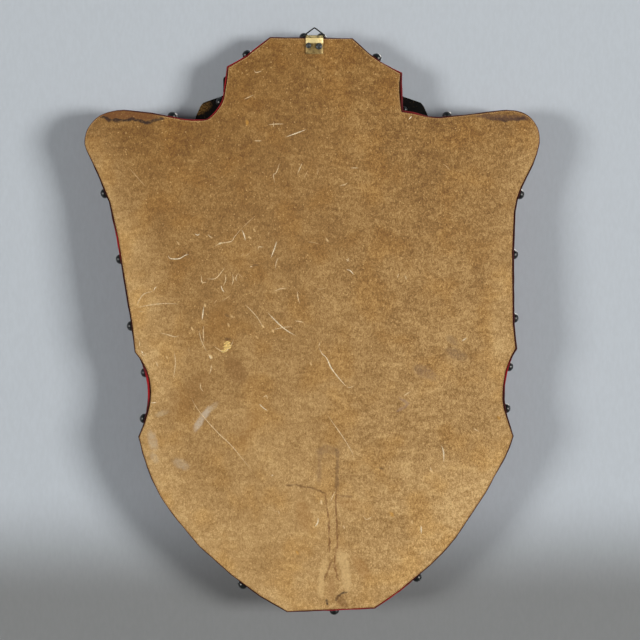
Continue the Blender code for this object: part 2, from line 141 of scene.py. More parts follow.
# Pixels along the light scratches in the bare board, by how fresh they look
BRIGHT_SCRATCHES = [
    [(168.2, 255.4), (170.2, 258.4), (178.9, 258.7), (185.5, 255.1), (189.1, 254.6)],
    [(218, 244.6), (220.2, 243.4), (222.5, 243)],
    [(241.6, 229.6), (243.7, 233.7), (245.7, 240.8)],
    [(194.7, 233.7), (197.8, 235.2), (199.8, 233.2)],
    [(276.8, 240.8), (274.3, 249), (270.7, 258.2)],
    [(220.9, 285.2), (222.4, 289.8), (224.5, 292.3)],
    [(249.6, 266.9), (252.5, 266.3)],
    [(203.9, 306.1), (202.9, 313.3), (202, 320.4)],
    [(267.1, 312.2), (273.3, 318.4), (279.4, 324.5), (287, 330.6), (296.6, 336.1)],
    [(209.6, 355.6), (210.2, 357.5), (211.4, 359.4)],
    [(259.1, 403.7), (263.1, 407.7), (267.8, 410.8)],
    [(318.7, 346.8), (322, 353.5), (326.7, 358.2), (331.4, 368.2), (339.5, 378.9), (346.8, 387)],
    [(285.3, 137.2), (295, 133.7), (306.4, 129.4)],
    [(461.7, 341.4), (464.5, 339.2), (467, 337.8)],
    [(441.3, 445.2), (443.5, 451.7), (443.8, 462.6)],
    [(318.2, 517.6), (317.6, 522.9), (314.7, 526.9)],
    [(271.5, 476.2), (273.2, 474.6)],
    [(153.5, 291), (155, 288), (156.4, 286.6)],
    [(150.4, 403), (156.5, 402.3)],
    [(411.9, 115.8), (408.8, 119.6)],
    [(346.4, 269.6), (350.2, 270.6), (353.8, 274.6)],
    [(141.2, 350.8), (143.4, 353.8)],
    [(421, 525), (421.4, 534)],
]
PLAIN_SCRATCHES = [
    [(214, 247), (220.2, 243.4), (231.4, 241.3), (234.5, 236.7), (241.1, 229.1)],
    [(208, 234.2), (210, 236.7), (213, 237.8)],
    [(278.4, 257.1), (276, 263.3), (275.6, 269.4)],
    [(225.3, 266.8), (221.2, 272.4), (215.1, 278.6), (205.9, 278.8)],
    [(201.3, 275), (202, 282.1), (206.9, 282.1)],
    [(225.3, 273.5), (225.6, 280.6), (223.3, 285.7)],
    [(232.4, 274), (233.3, 279.6), (231.9, 285.7)],
    [(237.6, 273.5), (235.7, 278.6), (237, 281.1)],
    [(258.5, 250), (258.5, 246.9), (263.6, 247.1)],
    [(244.7, 304.1), (251.8, 311.2), (258, 318.4), (263.1, 327.6)],
    [(274.3, 291.3), (280.4, 288.8), (287.6, 288)],
    [(297.2, 290.3), (297.8, 296.9), (299.8, 304.1)],
    [(294.7, 320.9), (299.3, 321.4), (303.9, 322.4)],
    [(273.3, 329.6), (282.4, 327.6), (291.6, 326.5)],
    [(160, 332.7), (168, 334.7), (174.7, 336.7), (179.4, 335.4)],
    [(174.1, 350.8), (175.4, 362.9), (173.4, 378.9)],
    [(198.8, 329.4), (200.8, 338.7), (203.5, 345.4), (206.9, 352.1)],
    [(211.6, 364.2), (210.6, 370.9), (208.9, 374.9)],
    [(200.4, 382.9), (200.8, 388.3), (203.5, 391.6)],
    [(203.6, 325.2), (203.3, 334), (204, 343.6)],
    [(213.6, 345.4), (217.6, 348.8), (224.3, 351.5), (231, 345.4), (233.7, 338.7)],
    [(262.4, 397.7), (266.5, 395.7), (267.5, 399.7)],
    [(190.1, 395), (196.2, 407), (205.5, 419.1), (218.9, 433.8), (232.3, 446.6), (252.4, 471.3)],
    [(320, 342.1), (318.7, 346.8)],
    [(346.8, 387), (350, 387.4), (354.2, 385.6)],
    [(326.7, 413.7), (334.1, 424.5), (343.5, 437.9), (351.5, 451.2), (354.2, 459.3)],
    [(253.9, 69.8), (256, 72.5), (262, 70.8)],
    [(243.6, 99.6), (253.9, 94.7)],
    [(267.9, 124.8), (276.6, 124), (284.2, 124)],
    [(253.3, 140.8), (262, 140.8)],
    [(279.9, 162.5), (276.1, 172.8), (273.4, 174.9), (275, 183.6)],
    [(302.4, 162.5), (297.2, 174.4)],
    [(350.3, 167.9), (358.5, 167.9)],
    [(339, 186), (344.9, 184.5), (347.6, 182.5)],
    [(403.4, 395.9), (410.4, 391.6)],
    [(472.7, 427.9), (479.2, 431.7)],
    [(321.7, 499.6), (320.5, 504.3)],
    [(335.6, 491), (332.7, 496.2), (330.4, 502)],
    [(362.9, 515.3), (366.3, 519.4), (372.7, 516.5)],
    [(343.1, 525.2), (344.9, 529.2)],
    [(153.5, 291), (144, 294), (139, 300.5), (136.6, 307.4)],
    [(136.6, 308), (144, 306), (163, 303.5), (179.5, 304)],
    [(139.4, 340), (139.7, 347)],
    [(141, 353), (144, 355.6), (146.2, 352.6)],
    [(155.6, 361), (158.2, 367)],
    [(273.2, 121.6), (273.8, 127.2)],
    [(345.4, 258.8), (350, 261.8)],
    [(346.8, 262.2), (349.2, 257)],
    [(398.6, 273), (397.4, 278.4)],
    [(404.6, 275.2), (406.8, 279.8)],
    [(430, 466.6), (431.6, 471.4)],
    [(278.3, 510.6), (279.6, 514.4)],
]
FAINT_SCRATCHES = [
    [(241.1, 229.1), (247.5, 222.8), (255, 216)],
    [(240.6, 256.6), (244.7, 252.6)],
    [(245.2, 256.3), (250.3, 252.6)],
    [(268.2, 235.2), (269.2, 231.1)],
    [(231.4, 294.4), (221.2, 302)],
    [(213.6, 304), (217.1, 299.5)],
    [(306.9, 241.8), (313.1, 242.3), (320, 244.4)],
    [(176.3, 240.8), (179.4, 244.9)],
    [(232.3, 415.8), (239.7, 414.1)],
    [(283.9, 361.5), (289.9, 367.5)],
    [(308, 170), (303.7, 178.7)],
    [(318.4, 167.9), (317.3, 175.5)],
    [(413.7, 367.7), (415.8, 375.3)],
    [(301.3, 536.8), (301.3, 540.3)],
    [(137, 311), (145, 311.5)],
    [(128.4, 167.2), (139.1, 179.3), (145.8, 186.8)],
    [(188.6, 346.6), (189.2, 352.8)],
    [(442.4, 163.2), (447, 166.8), (450.8, 170.6)],
    [(325.6, 238.4), (328.4, 242.6)],
    [(316.2, 288.6), (321.5, 289), (327.4, 287.4)],
    [(321, 296), (325.4, 299.4)],
    [(271.8, 509.6), (276.6, 511.6), (279, 508.8)],
    [(193, 417.4), (194.4, 421.4)],
    [(237, 273), (241, 276), (243.6, 279)],
    [(420, 551), (420.8, 555)],
    [(389.4, 465.6), (390.4, 471.2)],
    [(318.8, 555), (319.2, 558)],
]

# Strokes of the dried glue
GLUE = [
    [(219.5, 350.2), (223.6, 351.2), (228.6, 349.8)],
    [(223.2, 344.4), (227, 342.6), (231, 342.8)],
    [(222.6, 347.2), (227.2, 345.6), (232.2, 345.2)],
    [(223.4, 349.4), (227.6, 348.2), (231.4, 347)],
]

# All that stands up from the board: finish, its screen colour, width in pixels, and the lines
RAISED_MARKS = [
    ("fresh scratches", (250, 236, 204), 1.9, BRIGHT_SCRATCHES),
    ("plain scratches", (234, 208, 164), 1.5, PLAIN_SCRATCHES),
    ("faint scratches", (210, 176, 126), 1.2, FAINT_SCRATCHES),
    ("dried glue", (246, 210, 128), 5, GLUE),
]

# How far a scratch stands up in its middle, and where its sides sink into the board
SCRATCH_RISE = 0.12 * MM
SCRATCH_ROOT = -0.08 * MM

# Where the frayed edge is soaked brown, and where the carving's back in the left notch gets gold speckle
# that is also a painted highlight
SOAKED_RIM = [(104, 112), (124, 110), (156, 113)]
GOLD_AND_LIT_CORNER = [(197, 109), (205, 104.5)]

# Marks soaked into the board: screen colour, strength, half width and the pixels they run through
STAINS = [
    # The soaked top of the left arm, with its dark scalloped tide line
    ((112, 66, 28), 0.85, 6, [(104, 114), (122, 115.5), (140, 116), (153, 116.5)]),
    ((44, 26, 15), 1, 2.2, [(98.4, 115.1), (103.3, 117.2), (111, 120), (118, 120)]),
    ((44, 26, 15), 1, 2.2,
     [(118, 120), (125.8, 120.4), (132.1, 119), (138.4, 120.4), (146.1, 122.5)]),
    ((52, 33, 20), 0.9, 2.2, [(146.1, 122.5), (151, 121.8), (156.7, 119.3), (163, 118.2)]),
    ((58, 34, 20), 0.85, 2.2, [(107, 119), (108.6, 120.4)]),
    ((52, 30, 18), 0.85, 2.4, [(115.4, 121), (118.2, 121.4)]),
    ((58, 34, 20), 0.8, 2, [(131.4, 118.4), (134, 119.6)]),
    ((50, 30, 18), 0.85, 2.6, [(144.6, 122.4), (148.4, 122.8)]),
    # The smear along the top of the right arm
    ((92, 62, 44), 0.8, 4.2, [(476, 114.6), (492, 116.4), (506, 117.6), (520, 118), (528, 117.4)]),
    ((70, 46, 36), 0.75, 2.6, [(488, 118), (498, 119), (506, 119.8), (514, 119), (526, 118.8)]),
    ((60, 38, 28), 0.8, 1.8, [(504, 120.6), (507, 121.4)]),
    ((60, 38, 28), 0.8, 1.8, [(519, 119.4), (524, 118.4)]),
    # Where something ran down to the foot
    ((138, 108, 72), 0.55, 6, [(321, 451), (328.5, 448.5), (335, 451)]),
    ((116, 86, 54), 0.65, 3, [(336.5, 449), (337.6, 458), (337.2, 475), (336.6, 490)]),
    ((138, 106, 70), 0.5, 3.6, [(320.5, 450), (319.6, 462), (319, 485)]),
    ((112, 76, 36), 0.8, 1.5, [(286, 485.6), (294.4, 484.9), (306, 487), (316.4, 489.4), (325.6, 493.8)]),
    ((120, 84, 46), 0.6, 1.5, [(337.3, 495), (344.3, 496), (353, 497)]),
    ((120, 78, 32), 0.7, 1.6, [(324.4, 494), (326.8, 506.7)]),
    ((110, 64, 20), 0.8, 1.5, [(326.8, 506.7), (328.9, 519.5), (328.9, 534.8), (329.9, 553.3)]),
    ((120, 78, 32), 0.75, 1.6, [(331.9, 560.3), (327.4, 571.8), (324.8, 579.4)]),
    ((110, 64, 20), 0.8, 1.5,
     [(336.3, 491.4), (335.3, 504.2), (336.6, 516.9), (336.6, 529.7), (337.6, 541.2)]),
    ((122, 76, 30), 0.75, 1.5,
     [(337.6, 541.2), (335.7, 552.7), (334.4, 564.1), (336.3, 573.1), (338.2, 579.5)]),
    ((150, 108, 58), 0.45, 4.5, [(331.5, 578), (331.5, 598)]),
    ((216, 182, 126), 0.6, 4.5, [(325, 560), (321.5, 575), (321, 596)]),
    ((216, 184, 130), 0.6, 7, [(341, 556), (345, 568), (347, 586)]),
    ((62, 40, 20), 0.95, 1.7, [(347, 592), (341, 594), (338, 597), (336.6, 600)]),
    ((118, 80, 36), 0.75, 5.5, [(339.5, 599), (344, 604)]),
    ((62, 42, 24), 0.9, 1.9, [(327, 600.6), (327.6, 604.4)]),
    ((154, 108, 48), 0.45, 10, [(302, 506), (306, 524)]),
    ((158, 110, 50), 0.45, 8, [(358, 562), (366, 574)]),
    ((158, 112, 52), 0.4, 8, [(345, 503), (355, 505)]),
    # Pale splashes on the lower left
    ((196, 182, 164), 0.75, 4.6, [(196.5, 427.5), (202, 418), (208.5, 410)]),
    ((194, 178, 152), 0.35, 4, [(208.5, 410), (215, 405)]),
    ((196, 180, 156), 0.55, 6.5, [(151.5, 437), (153.5, 444)]),
    ((192, 176, 152), 0.45, 6.5, [(179, 463), (183, 465)]),
    ((190, 174, 150), 0.4, 4.5, [(153, 456), (155, 459)]),
    ((194, 176, 144), 0.45, 4, [(159, 414.5), (165, 412.5)]),
    # Greyish smudges at the right
    ((122, 100, 78), 0.45, 7, [(452, 352), (461, 356)]),
    ((126, 102, 76), 0.4, 5, [(450, 339), (454, 342)]),
    ((128, 104, 84), 0.45, 8.5, [(421, 370), (430, 375)]),
    ((140, 114, 104), 0.5, 2, [(400, 398), (408, 403.5), (404, 408), (397, 411)]),
    # Dark knocks, and patches where the binder shows
    ((92, 62, 30), 0.7, 2.2, [(225, 339.5), (229.5, 339)]),
    ((92, 64, 36), 0.6, 1.8, [(253.5, 265.4), (256.5, 265)]),
    ((88, 62, 38), 0.7, 2, [(225.8, 314.5), (227.8, 316)]),
    ((84, 60, 38), 0.6, 1.3, [(378, 467), (384, 469.5)]),
    ((124, 84, 36), 0.5, 12, [(234, 366), (238, 374)]),
    ((134, 92, 38), 0.4, 16, [(200, 382), (176, 408)]),
    # Bright and ochre spots
    ((240, 212, 158), 0.95, 1.7, [(209.4, 356), (211.2, 357.6)]),
    ((232, 198, 142), 0.8, 1.3, [(191.8, 328.2), (192.6, 329.4)]),
    ((232, 200, 146), 0.85, 1.3, [(310.8, 363.6), (311.6, 364.4)]),
    ((232, 198, 142), 0.8, 1.3, [(272.4, 330.6), (273.2, 331.4)]),
    ((234, 202, 146), 0.9, 1.5, [(430.6, 470.6), (432, 471.4)]),
    ((228, 194, 138), 0.8, 1.4, [(411.6, 521.4), (412.2, 523)]),
    ((238, 208, 152), 0.9, 1.5, [(219.6, 243.8), (221, 243.2)]),
    ((234, 202, 146), 0.85, 1.4, [(205, 304.6), (205.4, 306.4)]),
    ((234, 202, 146), 0.85, 1.3, [(262.4, 325.4), (263.4, 327.2)]),
    ((228, 194, 138), 0.75, 1.3, [(228, 324.2), (228.6, 325.6)]),
    ((226, 192, 136), 0.65, 1.2, [(256.4, 336.8), (257.2, 338)]),
    ((226, 192, 136), 0.7, 1.3, [(249.2, 237), (250.4, 238)]),
    ((224, 190, 134), 0.65, 1.2, [(254.4, 229.8), (255.2, 231)]),
    ((224, 190, 134), 0.65, 1.2, [(231.4, 316), (232.4, 317)]),
    ((234, 202, 148), 0.85, 1.3, [(326.6, 239), (327.6, 240.4)]),
    ((224, 190, 136), 0.7, 1.2, [(177.6, 241.8), (179.4, 244.6)]),
    ((234, 204, 150), 0.9, 1.5, [(321, 501.6), (321.4, 503.4)]),
    ((228, 196, 140), 0.7, 1.3, [(166.8, 357.2), (167.8, 358.2)]),
    ((208, 152, 62), 0.65, 1.8, [(246.8, 121.4), (247.2, 123.8)]),
    ((214, 158, 66), 0.65, 1.6, [(297, 552), (297.8, 553.4)]),
    ((210, 156, 66), 0.65, 2, [(391.2, 513.4), (392.4, 515.2)]),
    ((206, 150, 60), 0.6, 1.8, [(498.2, 417.4), (499.2, 418.6)]),
    ((140, 98, 42), 0.35, 14, [(222, 300), (214, 330)]),
    ((146, 102, 44), 0.35, 12, [(252, 418), (244, 436)]),
]

# Where the board is paler along its sides: half width, strength and pixels along the edge
PALE_SIDES = [
    (46, 0.58, [(86, 150), (104, 190), (119, 250)]),
    (66, 0.62, [(120, 266), (130, 320), (140, 362)]),
    (46, 0.38, [(140, 420), (146, 462), (166, 508), (206, 556)]),
    (40, 0.4, [(538, 150), (522, 192), (515, 250), (515, 330), (508, 372)]),
    (44, 0.3, [(510, 430), (500, 470), (474, 516), (430, 566)]),
]

# Pixels along the hem, how far the felt stands out past its plain edge there, and how far its cut edge
# lies below the back, in millimetres
HEM_PLACES = [
    (270, 38, -0.2, 0.6), (352, 38, -0.3, 1.2), (385, 62, -0.4, 1.6), (403, 84, 1.2, 0.5),
    (402, 98, 0.9, 0.5), (440, 117, -0.2, 0.9), (500, 110, -0.3, 1.6), (538, 140, -0.4, 2.4),
    (521, 187, 0.4, 1.2), (514, 260, 0.8, 0.9), (514, 325, 0.7, 0.8), (506, 385, 0.6, 0.4),
    (512, 436, -0.1, 1.1), (486, 493, -0.4, 2.2), (431, 565, -0.3, 1.8), (395, 592, 0.2, 0.4),
    (375, 608, 0.1, 0.5), (333, 610, 0.1, 0.5), (287, 612, -0.2, 1.4), (262, 599, 0, 1.4),
    (232, 574, -0.4, 2.6), (177, 519, -0.5, 2.8), (139, 440, -0.3, 1.8), (149, 395, 0.9, 0.3),
    (148, 375, 1.3, 0.2), (137, 352, -0.6, 0.4), (132, 320, 0.4, 1.2),
    (124, 276, 0.5, 0.8), (118, 237, 0.5, 0.4), (100, 180, 0.1, 0.9), (86, 145, -0.4, 2.2),
    (95, 117, -0.5, 2.6), (124, 110, -0.4, 1.8), (160, 114, 0, 0.9), (200, 120, 0.1, 0.6),
    (222, 95, 0, 0.7), (228, 68, 0.3, 0.4), (250, 53, 0.1, 0.6),
]

# Where the cut edge of the felt catches the light and gets a painted bright red; elsewhere it gets painted
# shade, almost black
HEM_LIT_STRETCHES = [
    [(148.6, 376), (150, 388), (148, 396)],
    [(118, 232), (122, 252)],
    [(226, 68), (250, 52), (262, 42)],
    [(226, 76), (226, 98), (208, 120), (170, 116)],
    [(378, 54), (407, 74), (408, 104)],
    [(406, 108), (442, 111)],
    [(506, 366), (504, 382)],
    [(410, 583), (375, 607), (318, 610)],
]
HEM_LIT_HALF_WIDTH = 12


def on_board(x, y, proud=0.0):
    """The place on the board's back that a pixel of the photograph shows."""
    return Vector(((HANG_PIXEL[0] - x) * PIXEL, BACK + proud, (HANG_PIXEL[1] - y) * PIXEL))


def linear(colour):
    """A screen colour, 0 to 255, as the linear colour a shader takes."""
    return [((c / 255 + 0.055) / 1.055) ** 2.4 if c > 10 else c / 255 / 12.92 for c in colour] + [1.0]


class Finish:
    """One material and short calls that make and link its nodes."""

    def __init__(self, name, roughness, metallic=0.0):
        self.material = bpy.data.materials.new(name)
        self.material.use_nodes = True
        self.tree = self.material.node_tree
        self.shader = self.tree.nodes["Principled BSDF"]
        self.shader.inputs["Roughness"].default_value = roughness
        self.shader.inputs["Metallic"].default_value = metallic
        self.place = self.add("TexCoord").outputs["Object"]

    def add(self, kind, inputs=(), **settings):
        """A shader node with its settings, and its inputs by place: each a number, a colour or a link."""
        made = self.tree.nodes.new("ShaderNode" + kind)
        for name, value in settings.items():
            setattr(made, name, value)
        for socket, value in dict(inputs).items():
            self.feed(made.inputs[socket], value)
        return made

    def feed(self, socket, value):
        if isinstance(value, bpy.types.NodeSocket):
            self.tree.links.new(value, socket)
        elif value is not None:
            socket.default_value = value

    def along(self, axis, vector=None):
        """How far the place, or another vector, reaches along X, Y or Z."""
        return self.add("SeparateXYZ", {0: vector or self.place}).outputs[axis]

    def stretched(self, scale):
        """The place, with each direction scaled where a scale is given."""
        if scale is None:
            return self.place
        return self.add("Mapping", {"Vector": self.place, "Scale": scale}).outputs[0]

    def noise(self, size, detail=2.0, roughness=0.5, stretch=None, twist=0.0):
        """Smooth noise whose features are about so many metres across."""
        inputs = {"Vector": self.stretched(stretch), "Scale": 1 / size, "Detail": detail}
        inputs.update({"Roughness": roughness, "Distortion": twist})
        return self.add("TexNoise", inputs).outputs["Fac"]

    def cells(self, size, stretch=None, output="Distance"):
        return self.add("TexVoronoi", {"Vector": self.stretched(stretch), "Scale": 1 / size}).outputs[output]

    def tone_of_cells(self, size, stretch=None):
        """A random value for each small cell."""
        return self.add("SeparateColor", {0: self.cells(size, stretch, "Color")}).outputs[0]

    def math(self, operation, first, second=0.0, third=0.0):
        return self.add("Math", {0: first, 1: second, 2: third}, operation=operation).outputs[0]

    def highest(self, values):
        return reduce(lambda first, second: self.math("MAXIMUM", first, second), values)

    def fade(self, value, low, high, start=0.0, end=1.0):
        """A value taken smoothly from start to end as it goes from low to high."""
        inputs = {"Value": value, "From Min": low, "From Max": high, "To Min": start, "To Max": end}
        return self.add("MapRange", inputs, interpolation_type="SMOOTHSTEP").outputs[0]

    def mix(self, share, first, second, blend="MIX"):
        made = self.add("Mix", data_type="RGBA", blend_type=blend, clamp_factor=True)
        for socket, value in ((0, share), (6, first), (7, second)):
            self.feed(made.inputs[socket], linear(value) if isinstance(value, tuple) else value)
        return made.outputs[2]

    def ramp(self, value, stops):
        """A colour for a value, from pairs of place and screen colour."""
        made = self.add("ValToRGB", {"Fac": value})
        marks = made.color_ramp.elements
        for i, (place, colour) in enumerate(stops):
            mark = marks[i] if i < 2 else marks.new(place)
            mark.position = place
            mark.color = linear(colour)
        return made.outputs[0]

    def ragged(self, size, reach):
        """The place shifted by noise, to give marks uneven edges."""
        inputs = {"Vector": self.place, "Scale": 1 / size, "Detail": 2.0}
        shift = self.add("TexNoise", inputs).outputs["Color"]
        centred = self.add("VectorMath", {0: shift, 1: (0.5, 0.5, 0.5)}, operation="SUBTRACT").outputs[0]
        scaled = self.add("VectorMath", {0: centred, "Scale": reach}, operation="SCALE").outputs[0]
        return self.add("VectorMath", {0: self.place, 1: scaled}, operation="ADD").outputs[0]

    def blot(self, place, x, y, half_wide, half_high, turn=0.0):
        """A soft round mark centred on a pixel, 1 in its middle and 0 at its edge."""
        inputs = {
            "Vector": place,
            "Location": on_board(x, y),
            "Rotation": (0.0, math.radians(turn), 0.0),
            "Scale": (half_wide * PIXEL, 1.0, half_high * PIXEL),
        }
        inside = self.add("Mapping", inputs, vector_type="TEXTURE").outputs[0]
        return self.add("TexGradient", {"Vector": inside}, gradient_type="SPHERICAL").outputs["Fac"]

    def line(self, place, pixels, half_width):
        """A soft line through pixels, 1 along its middle."""
        marks = []
        for (x0, y0), (x1, y1) in zip(pixels, pixels[1:]):
            half = math.hypot(x1 - x0, y1 - y0) / 2 + 1.5 * half_width
            turn = math.degrees(math.atan2(y0 - y1, x1 - x0))
            marks.append(self.blot(place, (x0 + x1) / 2, (y0 + y1) / 2, half, half_width, turn))
        return self.highest(marks)

    def colour(self, value):
        self.feed(self.shader.inputs["Base Color"], linear(value) if isinstance(value, tuple) else value)

    def rough(self, value):
        self.feed(self.shader.inputs["Roughness"], value)

    def bump(self, height, distance, strength=1.0):
        inputs = {"Height": height, "Distance": distance, "Strength": strength}
        self.feed(self.shader.inputs["Normal"], self.add("Bump", inputs).outputs[0])

    def set(self, **values):
        for name, value in values.items():
            self.shader.inputs[name.replace("_", " ")].default_value = value


# Finishes


def particle_colour(made):
    """The colour of the pressed flakes, before stains: fine chips, patches, and a paler foot and sides."""
    grain = made.noise(1.05 * MM, 2.0, 0.6, (1.0, 1.0, 0.8))
    chips = made.tone_of_cells(1.7 * MM, (1.0, 1.0, 0.65))
    flakes = made.tone_of_cells(3.6 * MM, (0.45, 1.0, 1.0))
    patches = made.noise(30 * MM, 1.5, 0.6)
    clouds = made.noise(90 * MM, 2.0, 0.5)
    tone = made.math("MULTIPLY", grain, 0.72)
    tone = made.math("ADD", tone, made.math("MULTIPLY", chips, 0.17))
    tone = made.math("ADD", tone, made.math("MULTIPLY", flakes, 0.11))
    left = made.along("X")
    calm = made.fade(left, -120 * MM, 60 * MM, 0.98, 0.72)
    tone = made.math("MULTIPLY_ADD", made.math("SUBTRACT", tone, 0.5), calm, 0.5)
    tone = made.math("ADD", tone, made.fade(patches, 0.25, 0.75, -0.035, 0.035))
    tone = made.math("ADD", tone, made.fade(clouds, 0.3, 0.7, -0.03, 0.03))
    paleness = made.math("MULTIPLY_ADD", made.along("Z"), -1.7, -0.02)
    paleness = made.math("SUBTRACT", paleness, made.fade(left, 20 * MM, 120 * MM, 0.0, 0.1))
    for half_width, strength, pixels in PALE_SIDES:
        side = made.fade(made.line(made.place, pixels, half_width), 0.0, 1.0, 0.0, strength)
        paleness = made.math("ADD", paleness, side)
    dark = made.ramp(tone, [(0.3, (95, 58, 13)), (0.7, (175, 136, 78)), (0.5, (134, 95, 39))])
    pale = made.ramp(tone, [(0.3, (144, 109, 57)), (0.7, (218, 186, 132)), (0.5, (184, 148, 95))])
    colour = made.mix(paleness, dark, pale)
    ochre = made.fade(made.noise(42 * MM, 2.0, 0.55), 0.46, 0.66, 0.0, 0.45)
    colour = made.mix(ochre, colour, (255, 240, 196), "MULTIPLY")
    fleck = made.math("MULTIPLY", made.fade(made.cells(4.2 * MM), 0.22, 0.1),
                      made.fade(made.tone_of_cells(4.2 * MM), 0.55, 0.75))
    colour = made.mix(made.math("MULTIPLY", fleck, 0.6), colour, (222, 186, 126))
    speck = made.fade(made.noise(1.9 * MM, 1.0, 0.5), 0.70, 0.78)
    return made.mix(made.math("MULTIPLY", speck, 0.5), colour, (84, 56, 28))


def board_finish():
    made = Finish("particle board", 0.75)
    colour = particle_colour(made)
    ragged = made.ragged(5 * MM, 3.2 * MM)
    uneven = made.fade(made.noise(2.4 * MM, 2.0, 0.6), 0.3, 0.6, 0.55, 1.0)
    for stain, strength, half_width, pixels in STAINS:
        mask = made.fade(made.line(ragged, pixels, half_width), 0.0, 0.6, 0.0, strength)
        colour = made.mix(made.math("MULTIPLY", mask, uneven), colour, stain)
    made.colour(colour)
    made.bump(made.noise(1.3 * MM, 3.0, 0.7, (1.0, 1.0, 0.7)), 0.25 * MM, 0.5)
    return made.material


def frayed_finish():
    """The board's sawn edge, where pale fibres stand up."""
    made = Finish("frayed sawn edge", 0.9)
    fibres = made.noise(0.9 * MM, 3.0, 0.7)
    colour = made.ramp(fibres, [(0.36, (112, 76, 36)), (0.68, (222, 188, 134)), (0.5, (156, 116, 68))])
    soaked = made.fade(made.line(made.place, SOAKED_RIM, 9.0), 0.0, 0.5, 0.0, 0.85)
    made.colour(made.mix(soaked, colour, (112, 66, 30)))
    made.bump(fibres, 0.3 * MM, 0.8)
    return made.material


def scratch_finish(name, colour):
    made = Finish(name, 0.85)
    tone = made.noise(1.4 * MM, 2.0)
    darker = tuple(0.8 * c for c in colour)
    made.colour(made.mix(made.fade(tone, 0.35, 0.65), darker, colour))
    return made.material


def felt_finish():
    """Red felt, with painted shade along its cut hem but for the stretches that catch the light, which get a
    painted bright red.
    """
    made = Finish("red felt", 0.95)
    fibres = made.noise(0.8 * MM, 4.0, 0.75, twist=0.8)
    nap = made.noise(22 * MM, 3.0, 0.6)
    colour = made.ramp(fibres, [(0.3, (70, 2, 8)), (0.7, (164, 14, 30)), (0.5, (118, 5, 16))])
    colour = made.mix(made.fade(nap, 0.4, 0.7, 0.0, 0.35), colour, (74, 4, 12))
    hem_lit = made.highest([made.line(made.place, pixels, HEM_LIT_HALF_WIDTH) for pixels in HEM_LIT_STRETCHES])
    # painted shade: the cut hem is darkened almost black, except on the stretches that catch the light
    hem_shade = made.math("SUBTRACT", 0.88, made.fade(hem_lit, 0.1, 0.7, 0.0, 0.8))
    at_hem = made.fade(made.along("Y"), BACK - 5.0 * MM, BACK - 2.2 * MM)
    colour = made.mix(made.math("MULTIPLY", at_hem, hem_shade), colour, (42, 8, 10))
    # painted light: a brighter red on the stretches of the hem that catch the light
    fresh = made.math("MULTIPLY", at_hem, made.fade(hem_lit, 0.45, 0.95, 0.0, 0.45))
    made.colour(made.mix(fresh, colour, (190, 4, 22)))
    made.bump(fibres, 0.5 * MM, 0.7)
    made.set(Sheen_Weight=0.25, Sheen_Roughness=0.5, Sheen_Tint=(0.5, 0.08, 0.1, 1.0))
    return made.material


def nail_finish():
    made = Finish("glossy black nails", 0.2)
    wear = made.noise(2.2 * MM, 3.0, 0.6)
    made.colour(made.ramp(wear, [(0.55, (9, 17, 20)), (0.8, (50, 46, 40)), (0.7, (14, 22, 25))]))
    made.rough(made.fade(wear, 0.4, 0.8, 0.3, 0.5))
    made.bump(made.noise(1.1 * MM, 2.0), 0.06 * MM, 0.5)
    made.set(Specular_IOR_Level=0.6)
    return made.material


def carving_finish():
    """Black paint over carved wood, with old gold rubbed on its high edges; its back, seen in the notches,
    gets painted shade.
    """
    made = Finish("blackened carving", 0.5)
    rubbed = made.add("Attribute", attribute_name="rubbed").outputs["Fac"]
    brushed = made.noise(5 * MM, 4.0, 0.7)
    speckle = made.noise(1.6 * MM, 3.0, 0.75)
    gold = made.math("MULTIPLY", rubbed, made.fade(brushed, 0.38, 0.6))
    gold = made.math("MAXIMUM", gold, made.math("MULTIPLY", made.fade(speckle, 0.6, 0.72), 0.5))
    # gold speckle on the back corner in the left notch, partly a painted highlight where that corner catches
    # the light
    corner = made.fade(made.line(made.ragged(4 * MM, 4 * MM), GOLD_AND_LIT_CORNER, 7.0), 0.1, 0.6)
    corner = made.math("MULTIPLY", corner, made.fade(speckle, 0.42, 0.6, 0.15, 0.85))
    gold = made.math("MAXIMUM", gold, corner)
    black = made.ramp(made.noise(9 * MM, 4.0, 0.65), [(0.35, (6, 6, 5)), (0.7, (22, 18, 12))])
    # painted shade: faces turned to the back, seen in the notches, are darkened almost black
    facing = made.along("Y", made.add("NewGeometry").outputs["Normal"])
    black = made.mix(made.fade(facing, 0.5, 0.9), black, (2, 3, 3))
    made.colour(made.mix(gold, black, (138, 104, 52)))
    made.rough(made.fade(speckle, 0.3, 0.7, 0.36, 0.62))
    made.bump(made.noise(2.4 * MM, 3.0, 0.6, (1.0, 1.0, 0.3)), 0.25 * MM, 0.5)
    made.set(Specular_IOR_Level=0.2)
    return made.material


